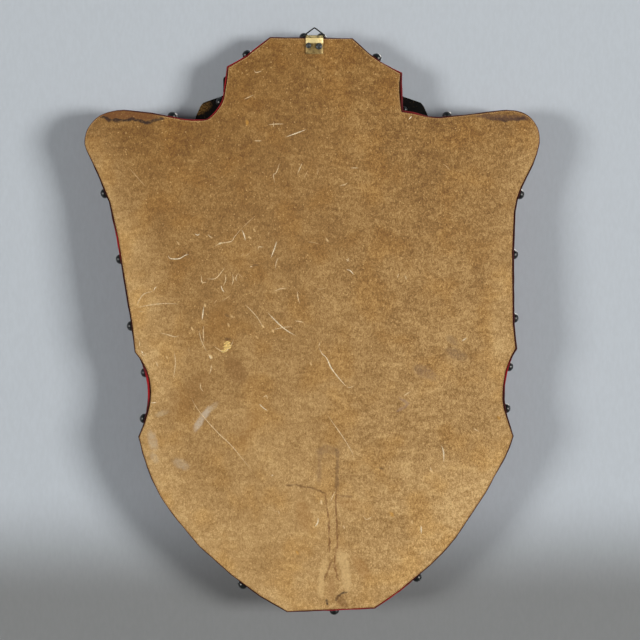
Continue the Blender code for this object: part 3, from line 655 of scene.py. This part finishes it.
def brass_finish():
    """Dull brass with tarnish: painted shade at the ring's fold, a painted reflection on the leaf below it,
    and duller lower down round the nails.
    """
    made = Finish("dull brass", 0.5, 0.4)
    height = made.along("Z")
    tarnish = made.noise(3.5 * MM, 4.0, 0.65)
    # painted reflection: the upper leaf is brighter where it reflects the light
    reflecting_leaf = made.mix(made.fade(tarnish, 0.45, 0.7, 0.0, 0.4), (240, 222, 164), (188, 162, 100))
    dull = made.mix(made.fade(tarnish, 0.4, 0.65), (150, 128, 78), (118, 98, 58))
    colour = made.mix(made.fade(height, -14.0 * MM, -15.6 * MM), reflecting_leaf, dull)
    # painted shade at the fold round the ring's foot, broken in patches where the painted reflection shows
    # through
    fold_shade_gaps = made.fade(made.noise(2.5 * MM, 2.0), 0.42, 0.58, 0.35, 0.85)
    fold_shade = made.math("MULTIPLY", made.fade(height, -9.9 * MM, -9.3 * MM), fold_shade_gaps)
    made.colour(made.mix(fold_shade, colour, (84, 76, 50)))
    made.rough(made.fade(tarnish, 0.3, 0.7, 0.48, 0.7))
    made.bump(made.noise(0.8 * MM, 2.0, 0.5, (0.25, 1.0, 1.0)), 0.04 * MM, 0.5)
    return made.material


def steel_finish():
    made = Finish("dull steel", 0.5, 0.45)
    patina = made.noise(1.8 * MM, 3.0, 0.65)
    made.colour(made.ramp(patina, [(0.35, (52, 52, 44)), (0.65, (96, 104, 114)), (0.5, (72, 76, 80))]))
    made.rough(made.fade(patina, 0.3, 0.7, 0.42, 0.62))
    return made.material


def wire_finish():
    made = Finish("blackened wire", 0.45, 0.3)
    scale = made.noise(1.5 * MM, 3.0, 0.6)
    made.colour(made.ramp(scale, [(0.4, (12, 14, 14)), (0.7, (40, 40, 37))]))
    made.rough(made.fade(scale, 0.3, 0.7, 0.4, 0.6))
    return made.material


# Shapes


def outer_loop(node, level):
    """The longest outline of a CAD node's flat face at a level of Y, as x and z in order, anticlockwise."""
    bm = bmesh.new()
    bm.from_mesh(frame["nodes"][node].data)
    bmesh.ops.remove_doubles(bm, verts=bm.verts, dist=TOUCHING)
    bm.normal_update()
    links = {}
    for edge in bm.edges:
        here = all(abs(v.co.y - level) < 10 * TOUCHING for v in edge.verts)
        if here and sum(abs(face.normal.y) > 0.9 for face in edge.link_faces) == 1:
            for v in edge.verts:
                links.setdefault(v, []).append(edge.other_vert(v))
    loops = []
    unused = set(links)
    while unused:
        here = min(unused, key=lambda v: v.index)
        loop = []
        while here:
            unused.discard(here)
            loop.append((here.co.x, here.co.z))
            here = next((v for v in links[here] if v in unused), None)
        loops.append(np.array(loop))
    bm.free()
    longest = max(loops, key=perimeter)
    return longest if area(longest) > 0 else longest[::-1]


def perimeter(loop):
    return np.linalg.norm(np.roll(loop, -1, 0) - loop, axis=1).sum()


def area(loop):
    x, z = loop.T
    return (x * np.roll(z, -1) - np.roll(x, -1) * z).sum() / 2


def finer(loop, pitch):
    """The loop with points added so that none are further apart than the pitch."""
    points = []
    for here, there in zip(loop, np.roll(loop, -1, 0)):
        steps = max(1, math.ceil(np.linalg.norm(there - here) / pitch))
        points.extend(here + (there - here) * step / steps for step in range(steps))
    return np.array(points)


def moved_out(loop, distance):
    """An anticlockwise loop moved out square to itself, by one distance or by one for each point."""
    ahead = np.roll(loop, -1, 0) - loop
    ahead /= np.linalg.norm(ahead, axis=1)[:, None]
    out_ahead = np.column_stack((ahead[:, 1], -ahead[:, 0]))
    out = out_ahead + np.roll(out_ahead, 1, 0)
    out /= np.linalg.norm(out, axis=1)[:, None]
    square = np.maximum((out * out_ahead).sum(1), 0.5)
    return loop + out * (np.broadcast_to(distance, len(loop)) / square)[:, None]


def wander(loop, pitch, seed):
    """Smooth noise along a loop, from -1 to 1, with a new value about every pitch."""
    count = max(4, round(perimeter(loop) / pitch))
    values = np.random.default_rng(seed).uniform(-1, 1, count)
    steps = np.linalg.norm(np.roll(loop, -1, 0) - loop, axis=1)
    along = np.concatenate(([0.0], np.cumsum(steps)[:-1])) / steps.sum() * count
    low = np.floor(along).astype(int)
    share = along - low
    share = share * share * (3 - 2 * share)
    return values[low % count] * (1 - share) + values[(low + 1) % count] * share


def at_level(loop, level):
    levels = np.broadcast_to(level, len(loop))
    return [Vector((x, y, z)) for (x, z), y in zip(loop, levels)]


def add_skin(bm, rings, looped=False):
    """A surface through rings of as many points each, capped or closed on itself. Returns its sides."""
    made = [[bm.verts.new(point) for point in ring] for ring in rings]
    pairs = list(zip(made, made[1:]))
    if looped:
        pairs.append((made[-1], made[0]))
    sides = []
    for near, far in pairs:
        for i in range(len(near)):
            j = (i + 1) % len(near)
            sides.append(bm.faces.new((near[i], near[j], far[j], far[i])))
    if not looped:
        bm.faces.new(made[0])
        bm.faces.new(made[-1])
    return sides


def finished_mesh(bm, name, smooth_under=40):
    bmesh.ops.recalc_face_normals(bm, faces=bm.faces)
    mesh = bpy.data.meshes.new(name)
    bm.to_mesh(mesh)
    bm.free()
    mesh.shade_smooth()
    mesh.set_sharp_from_angle(angle=math.radians(smooth_under))
    return mesh


def skinned(name, rings, looped=False, smooth_under=40):
    bm = bmesh.new()
    add_skin(bm, rings, looped)
    return finished_mesh(bm, name, smooth_under)


def placed(name, data):
    """A new object in the scene."""
    made = bpy.data.objects.new(name, data)
    bpy.context.scene.collection.objects.link(made)
    return made


def piece(name, mesh, finishes, replaced, body="plaque", turn=None):
    """A piece of the plaque in its place, riding on its body and standing for its CAD nodes."""
    made = placed(name, mesh)
    if turn:
        made.matrix_world = turn
    for finish in finishes:
        mesh.materials.append(finish)
    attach(made, body)
    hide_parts(*replaced)
    return made


# Pieces


def smoothed(pixels, pitch=1.6):
    """Points close together along a curve through pixels."""
    spots = [Vector(p) for p in pixels]
    ends = [2 * spots[0] - spots[1], *spots, 2 * spots[-1] - spots[-2]]
    points = []
    for before, start, end, after in zip(ends, ends[1:], ends[2:], ends[3:]):
        steps = max(1, math.ceil((end - start).length / pitch))
        for step in range(steps):
            t = step / steps
            points.append(
                0.5 * (2 * start + (end - before) * t + (2 * before - 5 * start + 4 * end - after) * t**2
                       + (3 * start - before - 3 * end + after) * t**3)
            )
    return points + [spots[-1]]


def square_to(points, i, looped=False):
    """The direction square to a line of points at one of them, to the right of its way."""
    before, after = max(i - 1, 0), min(i + 1, len(points) - 1)
    if looped:
        before, after = i - 1, (i + 1) % len(points)
    along = (points[after] - points[before]).normalized()
    return Vector((along.y, -along.x))


def add_scratch(bm, pixels, width, finish_index, dice):
    """A ridge of raised fibres along pixels, tapering to both ends."""
    points = smoothed(pixels)
    rings = []
    for i, point in enumerate(points):
        share = i / (len(points) - 1)
        swell = max(0.12, math.sin(math.pi * share) ** 0.6) * dice.uniform(0.75, 1.15)
        reach = -square_to(points, i) * width * swell / 2
        rings.append([
            on_board(*(point + reach), SCRATCH_ROOT),
            on_board(*point, SCRATCH_RISE * swell),
            on_board(*(point - reach), SCRATCH_ROOT),
        ])
    before = len(bm.faces)
    add_skin(bm, rings)
    bm.faces.ensure_lookup_table()
    for face in bm.faces[before:]:
        face.material_index = finish_index


def make_board():
    """The sawn particle board, with its frayed arris and the scratches in its bare back."""
    outline = finer(outer_loop("backboard", BACK), 1.5 * MM)
    chips = wander(outline, 4 * MM, 3)
    wear = wander(outline, 11 * MM, 4)
    rings = [
        at_level(moved_out(outline, (-1.25 - 0.45 * chips) * MM), BACK),
        at_level(moved_out(outline, (-0.4 - 0.12 * wear) * MM), BACK - 0.04 * MM),
        at_level(moved_out(outline, -0.08 * MM), BACK - (0.4 + 0.15 * chips) * MM),
        at_level(outline, BACK - 1.2 * MM),
        at_level(outline, FRONT),
    ]
    bm = bmesh.new()
    for face in add_skin(bm, rings):
        face.material_index = 1
    dice = np.random.default_rng(8)
    finishes = [board_finish(), frayed_finish()]
    for name, colour, width, lines in RAISED_MARKS:
        for pixels in lines:
            add_scratch(bm, pixels, width, len(finishes), dice)
        finishes.append(scratch_finish(name, colour))
    piece("sawn_board", finished_mesh(bm, "sawn_board"), finishes, ["backboard"])


def hem_shape(outline):
    """How far the felt stands out, and how far its cut edge lies below the back, all along the outline."""
    places = np.array([[on_board(x, y).x, on_board(x, y).z] for x, y, _, _ in HEM_PLACES])
    away = np.linalg.norm(outline[:, None] - places[None], axis=2)
    weight = 1 / (away**2 + (8 * MM) ** 2) ** 1.5
    weight /= weight.sum(1)[:, None]
    return weight @ np.array([place[2:] for place in HEM_PLACES])


def make_felt():
    """The felt, stretched over the front and round the edge to a cut hem just below the back."""
    outline = finer(outer_loop("felt_cover", FELT_HEM), 2.5 * MM)
    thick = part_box("felt_cover")[1].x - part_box("backboard")[1].x - 0.3 * MM
    out, below = (hem_shape(outline) * MM).T
    out = out + 0.2 * wander(outline, 9 * MM, 11) * MM
    hem = BACK - below - 0.25 * (1 + wander(outline, 7 * MM, 12)) * MM
    inner = moved_out(outline, -thick)
    rings = [
        at_level(inner, FRONT - 0.3 * MM),
        at_level(inner, hem - 0.4 * MM),
        at_level(moved_out(outline, 0.8 * out - 0.8 * thick), hem),
        at_level(moved_out(outline, out - 0.3 * thick), hem),
        at_level(moved_out(outline, out), hem - 0.5 * MM),
    ]
    for share in (0.25, 0.5, 0.75):
        level = hem + (FELT_FRONT - hem) * share
        rings.append(at_level(moved_out(outline, out * (1 - share) ** 2), level))
    for inset, depth in ((0.0, 1.4), (0.3, 0.5), (0.9, 0.1), (1.8, 0.0)):
        rings.append(at_level(moved_out(outline, -inset * MM), FELT_FRONT + depth * MM))
    felt = piece("felt_cloth", skinned("felt_cloth", rings), [felt_finish()], ["felt_cover"])


def nail_measure(node):
    """A CAD nail's seat as a matrix whose Z points out of its head, its head's radius and height, and
    its shank's radius and length."""
    spots = np.array([v.co for v in frame["nodes"][node].data.vertices])
    spots = np.unique(spots.round(7), axis=0)
    middle = spots.mean(0)
    axis = np.linalg.eigh(np.cov((spots - middle).T))[1][:, -1]
    along = (spots - middle) @ axis
    if along.max() > -along.min():
        axis, along = -axis, -along
    across = np.linalg.norm(spots - middle - np.outer(along, axis), axis=1)
    head_radius = across.max()
    base = along[across > 0.99 * head_radius].min()
    shank_radius = across[along < along.min() + TOUCHING * 10].max()
    out = Vector(axis)
    side = out.orthogonal().normalized()
    turn = Matrix((side, out.cross(side), out)).transposed().to_4x4()
    seat = Matrix.Translation(Vector(middle + axis * base)) @ turn
    return seat, head_radius, along.max() - base, shank_radius, base - along.min()


def turned(profile, sides):
    """Rings of a shape turned about Z, from pairs of radius and height."""
    rings = []
    for radius, height in profile:
        turns = [math.tau * i / sides for i in range(sides)]
        rings.append([Vector((radius * math.cos(a), radius * math.sin(a), height)) for a in turns])
    return rings


def nail_mesh(name, head_radius, head_height, shank_radius, shank_length):
    """A domed nail with a rolled lip under its head."""
    lip = 0.06 * head_radius
    profile = [(0.3 * shank_radius, -shank_length), (shank_radius, 2 * shank_radius - shank_length)]
    profile += [(shank_radius, lip), (0.86 * head_radius, lip), (0.94 * head_radius, 0.0)]
    profile += [(head_radius, 0.5 * lip), (head_radius, 1.5 * lip)]
    rows = 9
    for row in range(1, rows + 1):
        rise = math.radians(88) * row / rows
        height = 1.5 * lip + (head_height - lip) * math.sin(rise)
        profile.append((head_radius * math.cos(rise) ** 0.95, height))
    return skinned(name, turned(profile, sides=28), smooth_under=60)


def make_nails():
    dice = np.random.default_rng(21)
    black = nail_finish()
    for number in range(1, EDGE_NAIL_COUNT + 1):
        node = f"edge_nail_{number:02d}"
        seat, *sizes = nail_measure(node)
        lean = Matrix.Rotation(math.radians(dice.uniform(0, 3)), 4, "X")
        turn = seat @ Matrix.Rotation(dice.uniform(0, math.tau), 4, "Z") @ lean
        name = f"domed_nail_{number:02d}"
        piece(name, nail_mesh(name, *sizes), [black], [node], turn=turn)
    steel = steel_finish()
    for side in ("left", "right"):
        node = f"hanger_nail_{side}"
        seat, *sizes = nail_measure(node)
        name = f"strap_nail_{side}"
        piece(name, nail_mesh(name, *sizes), [steel], [node], turn=seat)


def strap_route():
    """The strip's middle line as depth from the ring's plane and height, folded round the ring's foot."""
    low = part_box("hanger_strap")[0].z
    route = [(STRAP_TURN, low), (STRAP_TURN, low + 0.6 * MM), (STRAP_TURN, low + 8 * MM)]
    for step in range(19):
        angle = math.radians(15 * step)
        route.append((STRAP_TURN * math.cos(angle), RING_AXIS + STRAP_TURN * math.sin(angle)))
    route += [(depth * MM, RING_AXIS - below * MM) for depth, below in STRAP_NIP]
    route += [(STRAP_LEAF, RING_AXIS - 6.6 * MM), (STRAP_LEAF, low + 5 * MM)]
    route += [(STRAP_LEAF - 0.05 * MM, low + 0.7 * MM), (STRAP_LEAF - 0.08 * MM, low + 0.1 * MM)]
    return [Vector(spot) for spot in route]


def make_strap():
    """The brass strip, folded and doubled, with rolled edges."""
    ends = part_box("hanger_strap")
    middle, half = (ends[0].x + ends[1].x) / 2, (ends[1].x - ends[0].x) / 2
    route = strap_route()
    rim = STRAP_METAL / 2
    rings = []
    for i, spot in enumerate(route):
        out = square_to(route, i)
        end = i in (0, len(route) - 1)
        wide = half - (0.45 * MM if end else 0.0)
        inner = wide - 0.6 * rim
        section = [(-wide, -0.4), (-wide, 0.4), (-inner, 1.0), (inner, 1.0)]
        section += [(wide, 0.4), (wide, -0.4), (inner, -1.0), (-inner, -1.0)]
        ring = []
        for x, lift in section:
            place = spot + out * rim * lift
            ring.append(Vector((middle + x, -place.x, place.y)))
        rings.append(ring)
    mesh = skinned("strap_strip", rings, smooth_under=50)
    piece("strap_strip", mesh, [brass_finish()], ["hanger_strap"])


def rounded_loop(corners, bends, steps):
    """A closed line through corners, each rounded to its own bend radius."""
    points = []
    for i, corner in enumerate(corners):
        to_last = (corners[i - 1] - corner).normalized()
        to_next = (corners[(i + 1) % len(corners)] - corner).normalized()
        half = to_last.angle(to_next) / 2
        middle = corner + (to_last + to_next).normalized() * bends[i] / math.sin(half)
        start = corner + to_last * bends[i] / math.tan(half) - middle
        end = corner + to_next * bends[i] / math.tan(half) - middle
        for step in range(steps + 1):
            points.append(middle + start.slerp(end, step / steps).normalized() * bends[i])
    return points


def make_ring():
    """The triangular wire ring, with its foot in the strap's fold."""
    corners = [(0, RING_TOP), (RING_HALF_BASE, RING_AXIS), (-RING_HALF_BASE, RING_AXIS)]
    line = rounded_loop([Vector(corner) for corner in corners], RING_BENDS, steps=10)
    sides = 14
    rings = []
    for i, spot in enumerate(line):
        out = square_to(line, i, looped=True)
        ring = []
        for side in range(sides):
            angle = math.tau * side / sides
            reach = spot + out * WIRE_RADIUS * math.cos(angle)
            ring.append(Vector((reach.x, WIRE_RADIUS * math.sin(angle), reach.y)))
        rings.append(ring)
    mesh = skinned("wire_ring", rings, looped=True, smooth_under=60)
    piece("wire_ring", mesh, [wire_finish()], ["hanger_ring"], "ring")


# The carved shield, as heights in millimetres over its back


def smooth_step(low, high, value):
    t = np.clip((value - low) / (high - low), 0, 1)
    return t * t * (3 - 2 * t)


def groove(value, middle, half_width, depth):
    return -depth * np.exp(-(((value - middle) / half_width) ** 2))


def dome(value, middle, half_width):
    """A half-round swelling, 1 in its middle."""
    return np.sqrt(np.clip(1 - ((value - middle) / half_width) ** 2, 0, 1))


def near_outline(points, loop):
    """Each point's distance to the outline and its place along it, both in millimetres."""
    nearest = np.full(len(points), np.inf)
    along = np.zeros(len(points))
    gone = 0.0
    for start, end in zip(loop, np.roll(loop, -1, 0)):
        chord = end - start
        length = np.linalg.norm(chord)
        share = np.clip((points - start) @ chord / length**2, 0, 1)
        away = np.linalg.norm(points - start - share[:, None] * chord, axis=1)
        closer = away < nearest
        nearest = np.where(closer, away, nearest)
        along = np.where(closer, gone + share * length, along)
        gone += length
    return nearest / MM, along / MM


def hammered(out, down, tile=128, seed=5):
    """The sunk field, struck all over with a round punch, in tiles of so many strokes a side."""
    dice = np.random.default_rng(seed)
    shift = dice.uniform(0.1, 0.9, (tile, tile, 2))
    column, row = (np.floor(reach / PUNCH_PITCH).astype(int) for reach in (out, down))
    nearest = np.full(out.shape, np.inf)
    for across in (-1, 0, 1):
        for below in (-1, 0, 1):
            i, j = column + across, row + below
            place = shift[i % tile, j % tile]
            from_side = (i + place[..., 0]) * PUNCH_PITCH - out
            from_top = (j + place[..., 1]) * PUNCH_PITCH - down
            nearest = np.minimum(nearest, np.hypot(from_side, from_top))
    return CARVING_FLOOR + 0.3 - 0.75 * np.clip(1 - (nearest / PUNCH_RADIUS) ** 2, 0, 1)


def band(inside, top):
    """A raised band, by how far inside its edge a place is: sloped sides, a fillet and a crowned middle."""
    rise = CARVING_FLOOR - 1 + (top - CARVING_FLOOR + 1) * smooth_step(-0.4, 2.0, inside)
    rise += groove(inside, 3.6, 0.9, 0.9) + 0.35 * smooth_step(4.0, 9.0, inside)
    return np.where(inside > -0.4, rise, 0.0)


def cross(out, down):
    upright = np.where(down > CHIEF_DOWN, band(CROSS_HALF_WIDTH - abs(out), 8.1), 0.0)
    arms = band(CROSS_HALF_WIDTH - abs(down - CROSS_DOWN), 7.7)
    chief = band(CHIEF_HALF_WIDTH - abs(down - CHIEF_DOWN), 8.5)
    chief = np.where(chief > 8.0, chief - 1.1 * np.clip(np.cos(math.tau * out / 11.0), 0, 1) ** 3, chief)
    return np.maximum(np.maximum(upright, arms), chief)


def boss(out, down):
    """The round boss where the cross's arms meet: a ring of pearls round an eight-petalled flower."""
    share = np.hypot(out, down - CROSS_DOWN) / BOSS_RADIUS
    angle = np.arctan2(out, down - CROSS_DOWN)
    stops = [0.0, 0.14, 0.22, 0.27, 0.34, 0.6, 0.66, 0.82, 0.88, 1.0]
    rise = np.interp(share, stops, [7.6, 7.4, 6.6, 5.4, 5.9, 6.3, 5.2, 5.2, 5.6, 3.9])
    petals = 0.9 * np.abs(np.sin(4 * angle)) ** 0.5 * np.clip((share - 0.26) / 0.3, 0, 1)
    rise = np.where((share > 0.27) & (share < 0.64), rise - 0.9 * (share > 0.3) + petals, rise)
    pearls = 1.5 * dome(share, 0.74, 0.09) * np.abs(np.cos(10 * angle)) ** 0.6
    return np.where(share < 1.0, CARVING_FLOOR + rise + pearls, 0.0)


def rose(out, down, radius):
    """A heraldic rose: five hollowed petals with turned edges, barbs between them and a seeded button."""
    reach = np.hypot(out, down)
    angle = np.arctan2(out, -down)
    lobe = 0.74 + 0.26 * np.abs(np.cos(2.5 * angle)) ** 0.7
    share = reach / (radius * lobe)
    stops = [0.0, 0.12, 0.24, 0.28, 0.33, 0.48, 0.7, 0.84, 0.93, 1.0]
    rise = np.interp(share, stops, [4.6, 4.4, 3.4, 1.7, 2.0, 2.3, 2.9, 3.9, 3.4, 1.2])
    parting = np.abs(np.sin(2.5 * angle + math.pi / 2))
    rise -= 1.3 * np.clip(1 - parting / 0.16, 0, 1) * (share > 0.3)
    rise += 0.35 * np.cos(2.5 * angle * 6) * smooth_step(0.4, 0.6, share) * (share < 0.85)
    seeds = 0.5 * np.cos(reach * math.tau / 3.2) * np.cos(6 * angle)
    rise = np.where(share < 0.24, rise + seeds, rise)
    petals = np.where(share < 1.0, CARVING_FLOOR + rise, 0.0)
    turn = (angle + math.pi / 5) % (math.tau / 5) - math.pi / 5
    turn = math.pi / 5 - np.abs(turn)
    barb = 1 - turn * reach / 4.5 - np.clip(reach / radius - 0.72, 0, 1) / 0.3
    barb = np.where((reach > 0.6 * radius) & (barb > 0), CARVING_FLOOR + 0.6 + 2.2 * barb, 0.0)
    return np.maximum(petals, barb)


def lozenge(out, down):
    wide, tall = LOZENGE_HALF_SIZES
    edge = np.abs(out) / wide + np.abs(down) / tall
    rise = np.interp(edge, [0.0, 0.66, 0.74, 0.84, 0.93, 1.0], [4.9, 2.3, 1.2, 1.2, 1.9, 1.1])
    return np.where(edge < 1.0, CARVING_FLOOR + rise, 0.0)


def rim(near, along):
    """The moulded rim by distance from the edge: a rounded arris, a rope and a hollow down to the field."""
    rise = 7.5 + 2.5 * dome(near, 2.5, 2.5) * (near < 2.5)
    rise = np.where(near >= 2.5, CARVING_RIM, rise)
    rise += groove(near, 3.1, 0.55, 0.9)
    twist = 0.5 + 0.5 * np.cos(math.tau * (along / 7.0 + (near - 5.0) / 6.0))
    rope = 9.0 + 1.3 * dome(near, 5.1, 1.7) * (0.55 + 0.45 * twist)
    rise = np.where((near > 3.4) & (near < 6.8), rope, rise)
    down_slope = CARVING_FLOOR + 4.0 * (1 - smooth_step(6.6, RIM_WIDTH + 0.3, near)) ** 1.4
    return np.where(near >= 6.8, down_slope, rise)


def carving_height(out, down, near, along):
    height = np.maximum(hammered(out, down), cross(out, down))
    height = np.where(np.hypot(out, down - CROSS_DOWN) < BOSS_RADIUS, boss(out, down), height)
    for middle in LOZENGES:
        height = np.maximum(height, lozenge(out - middle, down - LOZENGE_DOWN))
    for right, below, radius in ROSES:
        height = np.maximum(height, rose(out - right, down - below, radius))
    edge = rim(near, along)
    return np.where(near < RIM_WIDTH, np.maximum(edge, np.where(near > 6.6, height, 0.0)), height)


def row_ends(loop, level):
    """How far to the lowest and highest x a loop reaches at a height."""
    ends = []
    for (x0, z0), (x1, z1) in zip(loop, np.roll(loop, -1, 0)):
        if (z0 - level) * (z1 - level) <= 0 and z0 != z1:
            ends.append(x0 + (x1 - x0) * (level - z0) / (z1 - z0))
    return min(ends), max(ends)


def make_carving(columns=210, rows=330):
    """The carved shield as one grid over its outline, raised by carving_height, with sides and a back."""
    loop = outer_loop("carved_shield", CARVING_BACK)
    low, high = loop.min(0), loop.max(0)
    middle = (low[0] + high[0]) / 2
    even = np.linspace(0, 1, columns)
    packed = 0.72 * even + 0.28 * (0.5 - 0.5 * np.cos(math.pi * even))
    even_down = np.linspace(0, 1, rows)
    levels = high[1] - 0.01 * MM - (high[1] - low[1] - 0.6 * MM) * (0.9 * even_down + 0.1 * even_down**2)
    spots = []
    for level in levels:
        left, right = row_ends(loop, level)
        spots.append(np.column_stack((left + (right - left) * packed, np.full(columns, level))))
    spots = np.concatenate(spots)
    near, along = near_outline(spots, loop)
    height = carving_height((spots[:, 0] - middle) / MM, -spots[:, 1] / MM, near, along)
    field = height.reshape(rows, columns)
    blurred = sum(np.roll(np.roll(field, i, 0), j, 1) for i in (-2, 0, 2) for j in (-2, 0, 2)) / 9
    rubbed = np.clip((field - blurred) / 0.5, 0, 1).ravel()

    index = np.arange(rows * columns).reshape(rows, columns)
    quads = np.stack((index[:-1, :-1], index[1:, :-1], index[1:, 1:], index[:-1, 1:]), -1).reshape(-1, 4)
    border = np.concatenate((index[0, :-1], index[:-1, -1], index[-1, :0:-1], index[:0:-1, 0]))
    count = rows * columns
    foot = np.arange(len(border)) + count
    walls = np.stack((border, np.roll(border, -1), np.roll(foot, -1), foot), -1)
    verts = np.column_stack((spots[:, 0], CARVING_BACK - height * MM, spots[:, 1]))
    feet = verts[border]
    feet[:, 1] = CARVING_BACK
    mesh = bpy.data.meshes.new("carving")
    faces = quads.tolist() + walls.tolist() + [foot.tolist()]
    mesh.from_pydata(np.concatenate((verts, feet)).tolist(), [], faces)
    attribute = mesh.attributes.new("rubbed", "FLOAT", "POINT")
    attribute.data.foreach_set("value", np.concatenate((rubbed, np.zeros(len(border)))).astype(np.float32))
    bm = bmesh.new()
    bm.from_mesh(mesh)
    bmesh.ops.recalc_face_normals(bm, faces=bm.faces)
    bm.to_mesh(mesh)
    bm.free()
    mesh.shade_smooth()
    mesh.set_sharp_from_angle(angle=math.radians(55))
    piece("carving", mesh, [carving_finish()], ["carved_shield"])


# The stage


def make_camera():
    """The photograph's view of the back, from straight behind."""
    camera = bpy.data.cameras.new("camera")
    camera.lens = camera.sensor_width * CAMERA_AWAY / (PHOTO_WIDTH * PIXEL)
    made = placed("camera", camera)
    made.location = on_board(PHOTO_WIDTH / 2, PHOTO_WIDTH / 2, CAMERA_AWAY)
    made.rotation_euler = (math.pi / 2, 0, math.pi)
    bpy.context.scene.camera = made


def plane(name, centre, wide, high, facing):
    """A flat rectangle on the stage that faces a way."""
    bm = bmesh.new()
    bmesh.ops.create_grid(bm, x_segments=1, y_segments=1, size=0.5)
    mesh = bpy.data.meshes.new(name)
    bm.to_mesh(mesh)
    bm.free()
    made = placed(name, mesh)
    made.location = centre
    made.rotation_mode = "QUATERNION"
    made.rotation_quaternion = Vector(facing).to_track_quat("Z", "Y")
    made.scale = (wide, high, 1.0)
    return made


def area_light(name, place, target, size, power, colour):
    light = bpy.data.lights.new(name, "AREA")
    light.shape = "RECTANGLE"
    light.size, light.size_y = size
    light.energy = power
    light.color = linear(colour)[:3]
    made = placed(name, light)
    made.location = place
    made.rotation_mode = "QUATERNION"
    made.rotation_quaternion = (Vector(target) - Vector(place)).to_track_quat("-Z", "Y")


def backdrop_finish():
    """Pale blue-grey cloth that shows only its near side. It lets light through to what is seen directly,
    and stops it for light that bounces, so that the front's red isn't cast back on the cloth."""
    made = Finish("backdrop cloth", 0.9)
    height = made.along("Z", made.add("NewGeometry").outputs["Position"])
    weave = made.fade(made.noise(3 * MM, 2.0, 0.6, (1.0, 1.0, 0.35)), 0.3, 0.7, 0.0, 0.12)
    wall = made.mix(weave, (189, 199, 211), (159, 168, 178))
    # darker towards the foot
    darker_foot = made.mix(weave, (128, 132, 136), (110, 114, 118))
    made.colour(made.mix(made.fade(height, *FOOT_DARKENING), wall, darker_foot))
    see_through = made.add("BsdfTransparent").outputs[0]
    from_behind = made.add("NewGeometry").outputs["Backfacing"]
    path = made.add("LightPath").outputs
    seen_directly = made.math("LESS_THAN", path["Diffuse Depth"], 0.5)
    lights_front = made.math("MULTIPLY", path["Is Shadow Ray"], seen_directly)
    opened = made.math("MAXIMUM", from_behind, lights_front)
    mixed = made.add("MixShader", {0: opened, 1: made.shader.outputs[0], 2: see_through})
    made.feed(made.tree.nodes["Material Output"].inputs["Surface"], mixed.outputs[0])
    return made.material


def floor_finish():
    made = Finish("grey floor", 0.85)
    made.colour(made.ramp(made.noise(0.4, 3.0), [(0.3, (112, 112, 110)), (0.7, (122, 122, 120))]))
    return made.material


def make_backdrop(half_width=1.2, low=FLOOR_LEVEL, high=0.9, step=0.02):
    """The hanging cloth behind the plaque, as one curved sheet that faces its back."""
    bm = bmesh.new()
    last = None
    for row in range(round((high - low) / step) + 1):
        z = low + row * step
        over = max(z - BACKDROP_BEND, 0.0)
        if abs(z - BACKDROP_BEND) < BACKDROP_BEND_REACH:
            over = (z - BACKDROP_BEND + BACKDROP_BEND_REACH) ** 2 / (4 * BACKDROP_BEND_REACH)
        ends = [bm.verts.new((x, BACKDROP + BACKDROP_LEAN * over, z)) for x in (half_width, -half_width)]
        if last:
            bm.faces.new((last[0], last[1], ends[1], ends[0]))
        last = ends
    mesh = bpy.data.meshes.new("backdrop")
    bm.to_mesh(mesh)
    bm.free()
    mesh.shade_smooth()
    mesh.materials.append(backdrop_finish())
    made = placed("backdrop", mesh)


def make_stage():
    middle = on_board(PHOTO_WIDTH / 2, PHOTO_WIDTH / 2)
    make_backdrop()
    floor = plane("floor", (0, 0, FLOOR_LEVEL), FLOOR_WIDTH, FLOOR_WIDTH, (0, 0, 1))
    floor.data.materials.append(floor_finish())
    world = bpy.data.worlds.new("soft room")
    bpy.context.scene.world = world
    world.use_nodes = True
    room = world.node_tree.nodes["Background"].inputs
    room["Color"].default_value = linear(ROOM_COLOUR)
    room["Strength"].default_value = ROOM_STRENGTH
    for name, place, size, power, colour in LIGHTS:
        area_light(name, place, middle, size, power, colour)
    bpy.context.scene.view_settings.view_transform = "Standard"


make_camera()
make_board()
make_felt()
make_nails()
make_strap()
make_ring()
make_carving()
make_stage()
